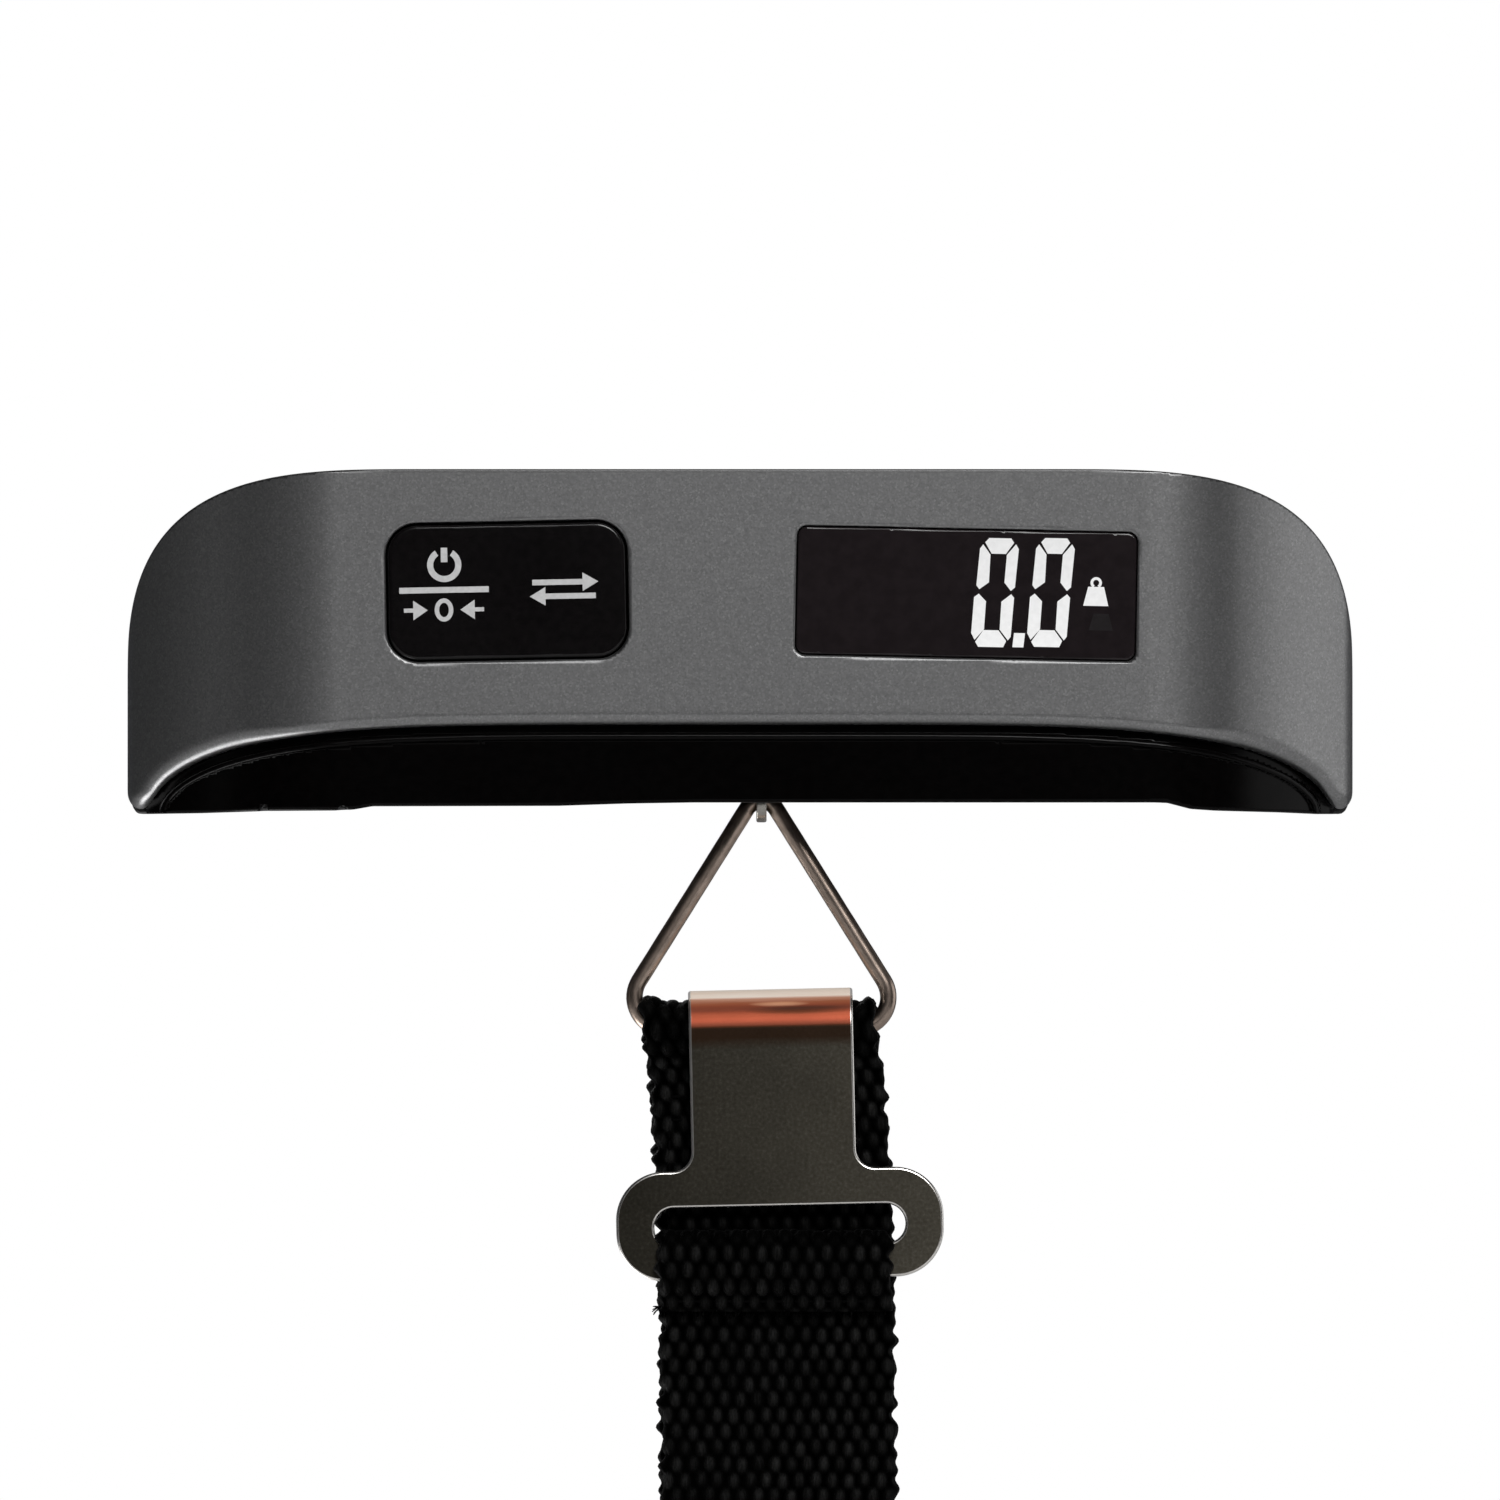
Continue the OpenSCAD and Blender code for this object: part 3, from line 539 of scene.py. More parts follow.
FRONT_C = (
    HALF_LENGTH - ((FRONT_R - FLANK_R) * math.sin(FRONT_END)
                   + (FLANK_R - SIDE_R) * math.sin(FLANK_END) + SIDE_R),
    -HALF_DEPTH + FRONT_R,
)
FLANK_C = arc_point(arc_point(FRONT_C, FRONT_R, FRONT_END), -FLANK_R, FRONT_END)
SIDE_C = arc_point(arc_point(FLANK_C, FLANK_R, FLANK_END), -SIDE_R, FLANK_END)
BACK_C = (HALF_LENGTH - BACK_R, HALF_DEPTH - BACK_R)
# centre, radius, first and last angle, depth to which the arc's distance holds
PLAN_ARCS = (
    (FRONT_C, FRONT_R, 0, FRONT_END, 7),
    (FLANK_C, FLANK_R, FRONT_END, FLANK_END, 7),
    (SIDE_C, SIDE_R, FLANK_END, math.pi / 2, 6),
    (BACK_C, BACK_R, math.pi / 2, math.pi, 8),
)

# The top is a superellipse quarter at each end of a flat middle
TOP_FLAT_X, TOP_START_Z = 34, -6
TOP_WIDTH, TOP_HEIGHT = 32.05, 24.45
TOP_POWER_X, TOP_POWER_Z = 3.3, 3.0

# The front cover's lower edge arches up from the ends to the middle
ARCH_HALF, ARCH_Z, ARCH_HEIGHT = 63.4, -18.3, 9.3
ARCH_POWER_X, ARCH_POWER_Z = 5, 1.818

# x, z stations of the body's lower edge; it drops a little towards both ends
BOTTOM_X, BOTTOM_Z = zip(
    (-64, -18.6), (-58, -18.5), (-53.7, -18.36), (-50.5, -18.25), (-43.5, -18.2),
    (-41.5, -18.1), (-39.5, -17.75), (-19.5, -17.7), (-12, -17.45), (-5, -17.34),
    (44.5, -17.34), (46, -17.4), (48.5, -18.05), (51, -18.22), (58, -18.42), (62, -18.6),
)


def plan(x, y):
    across = np.abs(x)
    form = both(-HALF_DEPTH - y, across - HALF_LENGTH, y - HALF_DEPTH)
    for center, radius, first, last, depth in PLAN_ARCS:
        dx, dy = across - center[0], y - center[1]
        reach = np.hypot(dx, dy)
        angle = np.arctan2(dx, -dy)
        on_arc = (angle >= first) & (angle <= last) & (reach > radius - depth)
        form = np.where(on_arc, reach - radius, form)
    return form


def top(x, z):
    across = np.maximum(np.abs(x) - TOP_FLAT_X, 0) / TOP_WIDTH
    up = np.maximum(z - TOP_START_Z, 0) / TOP_HEIGHT
    value = across**TOP_POWER_X + up**TOP_POWER_Z - 1
    slope = np.hypot(TOP_POWER_X / TOP_WIDTH * across ** (TOP_POWER_X - 1),
                     TOP_POWER_Z / TOP_HEIGHT * up ** (TOP_POWER_Z - 1))
    return value / np.maximum(slope, 0.01)


def arch(x, z):
    """Positive above the front cover's lower edge."""
    across, up = np.abs(x) / ARCH_HALF, np.maximum(z - ARCH_Z, 0) / ARCH_HEIGHT
    value = up**ARCH_POWER_Z + across**ARCH_POWER_X - 1
    slope = np.hypot(ARCH_POWER_X / ARCH_HALF * across**4,
                     ARCH_POWER_Z / ARCH_HEIGHT * up**0.818)
    return value / np.maximum(slope, 0.03)


def bottom(x):
    return np.interp(x, BOTTOM_X, BOTTOM_Z)


def shell(x, y, z):
    """The outline of the whole body."""
    return both(plan(x, y), top(x, z), bottom(x) - z)


# ---------------------------------------------------------------- hard parts
SEAM_START_Y = 4.2  # the covers overlap behind this depth
SEAM_INSET = 0.85


def front_cover(x, y, z):
    sides, crown = plan(x, y), top(x, z)
    form = meet(sides, crown, 0.18)
    form = meet(form, FLOOR_Z - z, 2.5)
    # the rolled lower lip widens towards the ends
    form = cut(form, arch(x, z), 1.25 + 0.9 * smooth_step((np.abs(x) - 47) / 9))
    form = cut(form, both(sides, crown, FLOOR_Z - z) + WALL)
    form = meet(form, y - 5.42, 0.3)
    # rabbet for the rear cover's lip
    form = cut(form, both(shell(x, y, z) + SEAM_INSET, SEAM_START_Y - y))
    across, up = local(x, z, KEY)
    opening = rounded_rect(across, up, half_width=13.0, half_height=7.45, radius=3.45)
    form = cut(form, opening, 0.28)
    across, up = local(x, z, DISPLAY)
    opening = rounded_rect(across, up, half_width=18.3, half_height=6.95, radius=1.1)
    return cut(form, opening, 0.24)


solid("cover_front", front_cover, low=(-66.3, -13.8, -18.6), high=(66.3, 5.7, 18.6), cell=0.33,
      body="housing", material=COVER_GREY, replaces="front_cover")


def base_trim(x, y, z):
    sides, rise, low = plan(x, y), arch(x, z), bottom(x)
    face = meet(meet(sides + 1.3, low - z, 0.4), rise + 1.0, 0.2)
    groove = both(sides + 2.1, rise + 0.25, low - z)
    bead = both(meet(sides + 0.8, np.abs(rise + 1.35) - 0.42, 0.38), low - z)
    tongue = both(sides + 2.0, rise - 1.8, low - z)
    form = either(face, groove, bead, tongue)
    # hollow inside
    form = cut(form, both(sides + 3.4, low + 1.6 - z, np.abs(x) - 60))
    form = meet(form, y - 5.4, 0.3)
    # slot for the rear cover's lip
    depth = shell(x, y, z)
    form = cut(form, both(depth + SEAM_INSET, -depth - 1.95, SEAM_START_Y - y))
    # hole round the eye's shank
    form = cut(form, np.hypot(x - RING_X, y) - 4.0, 0.45)
    # notches each side of the battery door's latch
    for notch_x in (-51.1, -42.75):
        form = cut(form, np.hypot(x - notch_x, (z + 18.25) * 0.8) - 0.42, 0.1)
    return form


solid("trim_base", base_trim, low=(-64.8, -13.2, -18.6), high=(64.8, 5.6, -7.0), cell=0.3,
      body="housing", material=BASE_BLACK, replaces="base_trim")


def door_box(x, y, z, half_width, *bounds):
    """A box centred on the battery door; bounds are y0, y1, z0, z1."""
    return box(x, y, z, DOOR_X - half_width, DOOR_X + half_width, *bounds)


def rear_cover(x, y, z):
    sides, crown, low = plan(x, y), top(x, z), bottom(x)
    outer = meet(meet(sides, crown, 1.6), low - z, 1.5)
    form = cut(outer, both(sides, crown, low - z) + WALL)
    # battery tray, and an ear each side for the hinge pin
    tray = both(door_box(x, y, z, 11.6, 6.6, 12.5, -16.4, 6.4), outer + 0.4)
    left_ear = box(x, y, z, DOOR_X - 13.85, DOOR_X - 11.45, 10.2, 12.9, 5.2, 9.2)
    right_ear = box(x, y, z, DOOR_X + 11.45, DOOR_X + 13.85, 10.2, 12.9, 5.2, 9.2)
    form = either(form, tray, left_ear, right_ear)
    for screw_x, screw_z in SCREWS:
        boss = np.hypot(x - screw_x, z - screw_z) - 2.8
        form = either(form, both(boss, slab(y, 5.6, 12.5)))
    form = cut(form, door_box(x, y, z, 10.5, 7.8, 20, -15.4, 5.4))  # inside of the tray
    opening = rounded_rect(x - DOOR_X, z + 3.375, DOOR_HALF_WIDTH + 0.25, 12.075, 0.5)
    form = cut(form, both(opening, 11.75 - y), 0.25)
    form = cut(form, door_box(x, y, z, 11.45, HINGE_Y - 1.5, 20, 5.7, 8.7))  # hinge barrel
    form = cut(form, door_box(x, y, z, 4.3, 9.3, 20, -25, -15.3), 0.2)  # door's tab
    for screw_x, screw_z in SCREWS:
        reach = np.hypot(x - screw_x, z - screw_z)
        form = cut(form, both(reach - 2.5, 12.0 - y), 0.25)
        form = cut(form, reach - 1.35)
    form = meet(form, 5.58 - y, 0.3)
    lip = both(outer + 1.0, -(outer + 1.8), slab(y, 4.5, 6.0))
    return either(form, lip)


solid("cover_rear", rear_cover, low=(-66.3, 4.2, -18.6), high=(66.3, 13.8, 18.6), cell=0.4,
      body="housing", material=REAR_BLACK, replaces="rear_cover")

RIBS, RIB_Z, RIB_PITCH = 4, -12.9, 1.4  # raised ribs on the door, counted upwards


def battery_door(x, y, z):
    across = x - DOOR_X
    from_hinge = np.hypot(y - HINGE_Y, z - HINGE_Z)
    plate = rounded_rect(across, z + 4.0, DOOR_HALF_WIDTH, 11.2, 0.6)
    plate = meet(plate, slab(y, 12.0, 13.4), 0.25)
    barrel = both(from_hinge - 1.3, np.abs(across) - DOOR_HALF_WIDTH)
    tab = meet(np.abs(across) - 4.0, slab(z, -18.2, -15.6), 0.4)
    tab = meet(tab, slab(y, 9.7, 13.4), 0.4)
    neck = meet(np.abs(across) - 4.0, both(slab(z, -17.5, -14.5), slab(y, 12.0, 13.4)), 0.3)
    form = either(plate, barrel, tab, neck)
    for i in range(RIBS):
        rib = rounded_rect(across, z - (RIB_Z + i * RIB_PITCH), 5.0, 0.3, 0.3)
        form = either(form, meet(rib, slab(y, 13.0, 13.5), 0.12))
    return cut(form, from_hinge - 0.65)


solid("door_battery", battery_door, low=(-58.2, 9.5, -18.4), high=(-35.3, 13.7, 8.7), cell=0.25,
      body="door", material=DOOR_BLACK, replaces="battery_door")

PIVOT_Y, PIVOT_R, PIVOT_HALF = -9.2, 1.7, 5  # barrel behind the key
POST_X = 8.5  # posts each side of the key's middle


def key_cap(x, y, z):
    (key_x, key_z), _ = KEY
    across, up = local(x, z, KEY)
    # a slightly hollowed rocker face
    hollow = 0.11 * np.exp(-((across / 6.5) ** 2)) * np.exp(-((up / 9.0) ** 2))
    cap = rounded_rect(across, up, half_width=12.78, half_height=7.23, radius=3.2)
    cap = meet(meet(cap, -13.72 - y + hollow, 0.4), y + 10.4, 0.2)
    flange = rounded_rect(across, up, half_width=13.5, half_height=8.0, radius=3.7)
    flange = both(flange, slab(y, -11.1, -10.4))
    from_pivot = np.hypot(x - key_x, y - PIVOT_Y)
    barrel = both(from_pivot - PIVOT_R, np.abs(z - key_z) - PIVOT_HALF)
    web = box(x, y, z, key_x - PIVOT_R, key_x + PIVOT_R, -10.9, PIVOT_Y,
              key_z - PIVOT_HALF, key_z + PIVOT_HALF)
    posts = either(np.hypot(x - key_x - POST_X, z - key_z) - 1.2,
                   np.hypot(x - key_x + POST_X, z - key_z) - 1.2)
    posts = both(posts, slab(y, -10.9, -9.4))
    return cut(either(cap, flange, barrel, web, posts), from_pivot - 0.85)


solid("key_rocker", key_cap, low=(-39, -14, -3), high=(-11, -7.3, 13.8), cell=0.22,
      body="key", material=KEY_BLACK, replaces="key_cap")


def display_lens(x, y, z):
    across, up = local(x, z, DISPLAY)
    plate = rounded_rect(across, up, half_width=18.18, half_height=6.83, radius=0.98)
    plate = meet(plate, slab(y, -13.38, -11.5), 0.14)
    flange = rounded_rect(across, up, half_width=19.2, half_height=7.7, radius=1.6)
    return either(plate, both(flange, slab(y, -11.65, -11.0)))


solid("window_lens", display_lens, low=(4.5, -13.6, -3.5), high=(44.2, -10.8, 13.5), cell=0.25,
      body="housing", material=LENS_SMOKE, replaces="display_lens")

# ---------------------------------------------------------------- hook plate
BEND_R = 3.65  # middle of the sheet round the ring's bar
SHEET_HALF, SHEET_EDGE = 0.6, 0.3  # half thickness, radius of the rounded edges
TILT_PIVOT = 3.3


def hook_blank(across, up):
    """The flat blank; up runs along the sheet, 0 at the bar's height."""
    neck = rounded_rect(across, up + 8.0, 8.85, 8.0 + math.pi * BEND_R, 0.5)
    neck = both(neck, -up - 16.5)
    wide_end = rounded_rect(across - 0.5, up + 21.0, 17.6, 5.9, 5.2)
    slot = rounded_rect(across - 0.5, up + 21.15, 13.5, 2.1, 2.09)
    return cut(join(neck, wide_end, 2.1), slot)


def trace_outline(start, stride=0.22, reach=1e-3):
    """Follows an edge of the blank from a point near it back to where it began."""

    def settle(point):
        for _ in range(4):
            x, y = point
            value = hook_blank(x, y)
            slope = np.array([
                (hook_blank(x + reach, y) - hook_blank(x - reach, y)) / (2 * reach),
                (hook_blank(x, y + reach) - hook_blank(x, y - reach)) / (2 * reach),
            ])
            point = point - value * slope / max(slope @ slope, 0.05)
        return point, slope / np.linalg.norm(slope)

    point, normal = settle(np.array(start, float))
    points, normals = [point], [normal]
    for i in range(4000):
        point, normal = settle(point + stride * np.array([-normal[1], normal[0]]))
        if i > 20 and np.linalg.norm(point - points[0]) < stride * 0.75:
            break
        points.append(point)
        normals.append(normal)
    return np.array(points), np.array(normals)


def hook_plate():
    outlines = [trace_outline(start) for start in ((8.85, -5), (0.0, -19.05))]
    # a grid inside, fine enough to bend
    columns, rows = np.arange(-17, 18.01, 0.8), np.arange(-27, 12, 0.45)
    grid = np.stack(np.meshgrid(columns, rows, indexing="ij"), -1).reshape(-1, 2)
    grid = grid[hook_blank(grid[:, 0], grid[:, 1]) < -(SHEET_EDGE + 0.35)]
    points, edges = [], []
    for outline, outward in outlines:
        first, count = len(points), len(outline)
        points += [Vector(point) for point in outline - outward * SHEET_EDGE]
        edges += [(first + i, first + (i + 1) % count) for i in range(count)]
    points += [Vector(point) for point in grid]
    flat, _, triangles, sources, _, _ = delaunay_2d_cdt(points, edges, [], 0, 1e-5)
    flat = np.array([tuple(point) for point in flat])
    count = len(flat)
    index_of = {old: new for new, olds in enumerate(sources) for old in olds}

    # front and back faces: place on the sheet, height above its middle, normal
    sheet = [flat, flat]
    height = [np.full(count, SHEET_HALF), np.full(count, -SHEET_HALF)]
    normal = [np.tile((0.0, 0.0, side), (count, 1)) for side in (1.0, -1.0)]
    faces = []
    for triangle in triangles:
        middle = flat[list(triangle)].mean(0)
        if hook_blank(middle[0], middle[1]) < -SHEET_EDGE - 1e-4:
            faces.append(list(triangle))
            faces.append([count + i for i in triangle[::-1]])

    # rounded edges, ring by ring from the front face to the back face
    angles = (15, 35, 55, 75, 90)
    steps = [(angle, 1) for angle in angles] + [(angle, -1) for angle in angles[::-1]]
    first, total = 0, 2 * count
    for outline, outward in outlines:
        size = len(outline)
        front = [index_of[first + i] for i in range(size)]
        first += size
        rings = [front]
        for angle, side in steps:
            sin, cos = math.sin(math.radians(angle)), math.cos(math.radians(angle))
            sheet.append(outline - outward * (SHEET_EDGE * (1 - sin)))
            level = side * (SHEET_HALF - SHEET_EDGE + SHEET_EDGE * cos)
            height.append(np.full(size, level))
            normal.append(np.column_stack([outward * sin, np.full(size, side * cos)]))
            rings.append(range(total, total + size))
            total += size
        rings.append([count + i for i in front])
        for here, after in zip(rings, rings[1:]):
            for i in range(size):
                j = (i + 1) % size
                faces.append([here[i], after[i], after[j], here[j]])
    sheet, height, normal = (np.concatenate(part) for part in (sheet, height, normal))

    # bend the neck's end over the bar
    turn = np.maximum(sheet[:, 1], 0) / BEND_R
    x = sheet[:, 0]
    y = np.where(turn > 0, -(BEND_R + height) * np.cos(turn), -BEND_R - height)
    z = np.where(turn > 0, (BEND_R + height) * np.sin(turn), sheet[:, 1])
    normal_x = normal[:, 0]
    normal_y = normal[:, 1] * np.sin(turn) - normal[:, 2] * np.cos(turn)
    normal_z = normal[:, 1] * np.cos(turn) + normal[:, 2] * np.sin(turn)
    # hang the plate a little askew
    cos, sin = math.cos(HOOK_TILT), math.sin(HOOK_TILT)
    verts = np.column_stack([
        HOOK_X + x * cos - (z + TILT_PIVOT) * sin,
        y,
        BAR_Z + TILT_PIVOT + (z - TILT_PIVOT) * cos + x * sin,
    ])
    normals = np.column_stack([
        normal_x * cos - normal_z * sin, normal_y, normal_z * cos + normal_x * sin,
    ])

    def outward_face(face):
        a, b, c = face[:3]
        across = np.cross(verts[b] - verts[a], verts[c] - verts[a])
        return face if across @ (normals[a] + normals[c]) >= 0 else face[::-1]

    # the edge attribute marks the rounded edges, where the material paints a highlight
    make_mesh("plate_hook", verts, [outward_face(face) for face in faces], "hook",
              HOOK_NICKEL, normals=normals,
              attribute=("edge", np.arange(total) >= 2 * count), replaces="hook_plate")


hook_plate()


def eye_bolt(x, y, z):
    across = x - RING_X
    reach = np.hypot(across, y)
    shank = meet(reach - 2.0, slab(z, -14.5, 1.4), 0.3)
    collar = meet(reach - 3.5, slab(z, -13.2, -11.6), 0.25)
    from_eye = np.hypot(y, z - EYE_Z)
    eye = either(from_eye - 2.15, both(np.abs(y) - 1.9, slab(z, -16.4, -13)))
    hole = from_eye - 1.4
    eye = cut(meet(cut(eye, hole), np.abs(across) - 0.55, 0.2), hole)
    return either(shank, collar, eye)


solid("eye_hanger", eye_bolt, low=(-1.4, -3.8, -20.4), high=(6.0, 3.8, 1.6), cell=0.16,
      body="hanger", material=EYE_NICKEL, replaces="eye_bolt")


# ---------------------------------------------------------------------- ring
def straight(start, end, count=30):
    share = np.linspace(0, 1, count)[:, None]
    return np.array(start) * (1 - share) + np.array(end) * share


def arc(center, radius, start, end, count=40):
    """Angles in degrees."""
    angle = np.radians(np.linspace(start, end, count))
    return np.stack([center[0] + radius * np.cos(angle), center[1] + radius * np.sin(angle)], 1)


RING_HALF, RING_TOP_Z = 16.4, -15.5  # the triangle before its corners are rounded
RING_TOP_R, RING_CORNER_R = 1.9, 3.4
WIRE_R, WIRE_SIDES = 0.89, 24


def ring_path():
    """Closed x, z line of the wire, starting at the apex."""
    slope = math.atan(RING_HALF / (RING_TOP_Z - BAR_Z))
    lean = math.degrees(slope)
    apex_z = RING_TOP_Z - RING_TOP_R / math.sin(slope)
    corner_x = RING_HALF - RING_CORNER_R / math.tan((math.pi / 2 - slope) / 2)
    corner_z = BAR_Z + RING_CORNER_R
    arcs = [
        arc((0, apex_z), RING_TOP_R, lean, 180 - lean, 21),
        arc((-corner_x, corner_z), RING_CORNER_R, 180 - lean, 270, 19),
        arc((corner_x, corner_z), RING_CORNER_R, -90, lean, 19),
    ]
    path = []
    for bend, following in zip(arcs, arcs[1:] + arcs[:1]):
        path += [bend[:-1], straight(bend[-1], following[0], 41)[:-1]]
    return np.concatenate(path)


def ring():
    path = ring_path()
    tangent = np.roll(path, -1, 0) - np.roll(path, 1, 0)
    tangent /= np.linalg.norm(tangent, axis=1)[:, None]
    angle = np.arange(WIRE_SIDES) * 2 * math.pi / WIRE_SIDES
    # the wire's thickness varies slightly
    radius = WIRE_R * (1 + 0.006 * np.sin(np.arange(len(path)) * 0.9))[:, None]
    verts = np.empty((len(path), WIRE_SIDES, 3))
    verts[..., 0] = RING_X + path[:, None, 0] + tangent[:, None, 1] * np.cos(angle) * radius
    verts[..., 1] = np.sin(angle) * radius
    verts[..., 2] = path[:, None, 1] - tangent[:, None, 0] * np.cos(angle) * radius
    make_mesh("ring_wire", verts.reshape(-1, 3), tube_quads(len(path), WIRE_SIDES, closed=True),
              "ring", RING_NICKEL, replaces="triangle_ring")


ring()

# ------------------------------------------------------------------- webbing
THICKNESS, PITCH = 1.35, 0.88  # of the strap, and between its warp yarns
KNUCKLE = 3.5  # length of one weave step
YARNS = round(24.6 / PITCH)
STEP, COARSE_STEP = 0.3, 0.6  # row spacing, coarser below COARSE_Z
COARSE_Z = -96.0

# depth below z = 0, x of the strap's middle: it leans between ring and hook slot
LEAN_DEPTH, LEAN_X = zip(
    (38, 2.15), (42, 2.2), (46, 2.7), (50, 3.15), (55, 3.45), (65, 3.75),
    (80, 3.95), (92, 4.05), (120, 3.8), (150, 3.4), (165, 3.4),
)
# selvedge waves: amplitude, waves in radians per mm, share of the phase
EDGE_WAVES = ((0.17, 1.93, 2), (0.13, 2.71, 3.1), (0.12, 1.07, 1), (0.08, 0.43, 1.7))


def center_line(parts):
    """Joins (y, z) polylines; returns evenly stepped points and their arc lengths."""
    path = np.concatenate(parts)
    keep = np.r_[True, np.linalg.norm(np.diff(path, axis=0), axis=1) > 1e-6]
    path = path[keep]
    lengths = np.r_[0, np.cumsum(np.linalg.norm(np.diff(path, axis=0), axis=1))]
    fine = np.linspace(0, lengths[-1], 6000)
    low = np.clip((COARSE_Z - np.interp(fine, lengths, path[:, 1])) / 4.0, 0, 1)
    density = 1 / (STEP + (COARSE_STEP - STEP) * low)
    steps = np.r_[0, np.cumsum((density[1:] + density[:-1]) / 2 * np.diff(fine))]
    along = np.interp(np.linspace(0, steps[-1], int(steps[-1]) + 1), steps, fine)
    line = np.stack([np.interp(along, lengths, path[:, i]) for i in range(2)], 1)
    for _ in range(3):
        line[1:-1] = 0.25 * line[:-2] + 0.5 * line[1:-1] + 0.25 * line[2:]
    return line, along


def scatter(i, k):
    """A repeatable value from 0 to 1 for each pair of numbers."""
    value = np.sin(i * 12.9898 + k * 78.233 + 3.7) * 43758.5453
    return value - np.floor(value)


def weave(across, along, side):
    """Height of the yarns above the strap's ground, in mm, and how lit the yarn is.

    Every warp yarn comes up as a row of round knuckles; the knuckles of
    neighbouring yarns lie half a step apart."""
    nearest = np.round(across / PITCH)
    best = np.zeros(across.shape)
    for neighbour in (-1, 0, 1):
        i = nearest + neighbour
        phase = np.mod(i, 2) * 0.5 + (0.5 if side < 0 else 0) + 0.03 * np.sin(
            i * 5.3 + along * 0.21)
        k = np.round(along / KNUCKLE - phase)
        chance = scatter(i, k)
        dy = along - (k + phase) * KNUCKLE + 0.22 * (chance - 0.5)
        dx = across - i * PITCH + 0.1 * (scatter(k, i) - 0.5)
        dome = 1 - (np.abs(dx) / 0.74) ** 2.2 - (np.abs(dy) / 1.12) ** 2.2
        best = np.maximum(best, np.sqrt(np.maximum(dome, 0)) * (0.78 + 0.3 * chance))
    return 0.56 * best, best**1.6


def ribbon(name, line, along, body, per_yarn, shade, lift=None, replaces=None):
    """A woven strap along a (y, z) line; shade dims the yarn attribute row by row."""
    rows, columns = len(line), YARNS * per_yarn
    tangent = np.gradient(line, axis=0)
    tangent /= np.linalg.norm(tangent, axis=1)[:, None]
    outward = np.stack([-tangent[:, 1], tangent[:, 0]], 1)
    stations = (np.arange(columns + 1) / columns - 0.5) * YARNS * PITCH
    lengths, across = np.meshgrid(along, stations, indexing="ij")
    edge = np.clip(1 - (YARNS * PITCH / 2 - np.abs(across)) / 0.55, 0, 1)
    ground = 0.5 * (THICKNESS - 0.62) * (1 - 0.55 * edge**2)

    def lumps(phase):
        """How far a selvedge bulges outwards."""
        bulge = 0.1 * np.cos(2 * np.pi * along / (KNUCKLE / 2) + phase)
        for amplitude, waves, share in EDGE_WAVES:
            bulge = bulge + amplitude * np.sin(along * waves + phase * share)
        return bulge[:, None]

    sway = 0.14 * np.sin(2 * np.pi * along / 61 + 1.3) + 0.07 * np.sin(2 * np.pi * along / 17)
    middle = np.interp(-line[:, 1], LEAN_DEPTH, LEAN_X)
    bulge = np.where(across < 0, lumps(0.4), lumps(2.9))
    x = middle[:, None] + sway[:, None] + across + np.sign(across) * edge * bulge
    rise = np.zeros_like(x) if lift is None else lift(x, line)

    surfaces, yarns = [], []
    for side in (1, -1):
        yarn_height, lit = weave(across + 0.5 * PITCH, lengths, side)
        height = ground + yarn_height * (1 - 0.3 * edge)
        surfaces.append(np.stack([
            x,
            line[:, None, 0] + outward[:, None, 0] * height * side,
            line[:, None, 1] + outward[:, None, 1] * height * side + rise,
        ], -1))
        yarns.append(lit * shade[:, None])
    # round nose down each selvedge
    noses = []
    for column, side in ((0, -1), (columns, 1)):
        ripple = 0.28 + 0.05 * np.cos(2 * np.pi * along / (KNUCKLE / 2) + 1.1)
        nose = [x[:, column] + side * ripple, line[:, 0], line[:, 1] + rise[:, column]]
        noses.append(np.stack(nose, 1)[:, None])
    loops = np.concatenate([surfaces[0], noses[1], surfaces[1][:, ::-1], noses[0]], 1)
    half_lit = np.full((rows, 1), 0.5)
    yarn = np.concatenate([yarns[0], half_lit, yarns[1][:, ::-1], half_lit], 1)

    around = loops.shape[1]
    faces = tube_quads(rows, around, closed=False)[:, ::-1].tolist()
    # close the ends with strips across the thickness
    back = 2 * columns + 2  # the back vertex behind column 0
    for row, turn in ((0, -1), (rows - 1, 1)):
        base = row * around
        strips = [[i, i + 1, back - 1 - i, back - i] for i in range(columns)]
        strips += [[columns, columns + 1, columns + 2], [back, back + 1, 0]]
        faces += [[base + i for i in strip][::turn] for strip in strips]
    return make_mesh(name, loops.reshape(-1, 3), faces, body, WEBBING,
                     attribute=("yarn", yarn.ravel()), replaces=replaces)


# y, z of the strap's course: round the bar, down the back, round the loop's
# bottom and up the front to the hook's slot, ending in a folded flap
LEG_Y = 0.72
LOOP_R, LOOP_Y, LOOP_Z = 11.6, -0.8, -149.0
FRONT_Y, FRONT_Z = -2.33, -75.2
SEAM_Z = -138.0  # where the two strap meshes meet
FOLD_R, FOLD_Z = 1.32, -65.3
FLAP_Y = FRONT_Y - 2 * FOLD_R


def eased(start, end):
    """Runs down evenly while y eases over."""
    share = np.linspace(0, 1, 90)
    slow = (1 - np.cos(np.pi * share)) / 2
    return np.stack([start[0] + (end[0] - start[0]) * slow,
                     start[1] + (end[1] - start[1]) * share], 1)


def corner_lift(x, line):
    """The strap's edges ride up where the ring's corners turn up."""
    near = smooth_step((line[:, 1] - BAR_Z + 1.0) / 2.4)[:, None]
    return near * 0.85 * smooth_step((np.abs(x - RING_X) - 9.6) / 3.4)


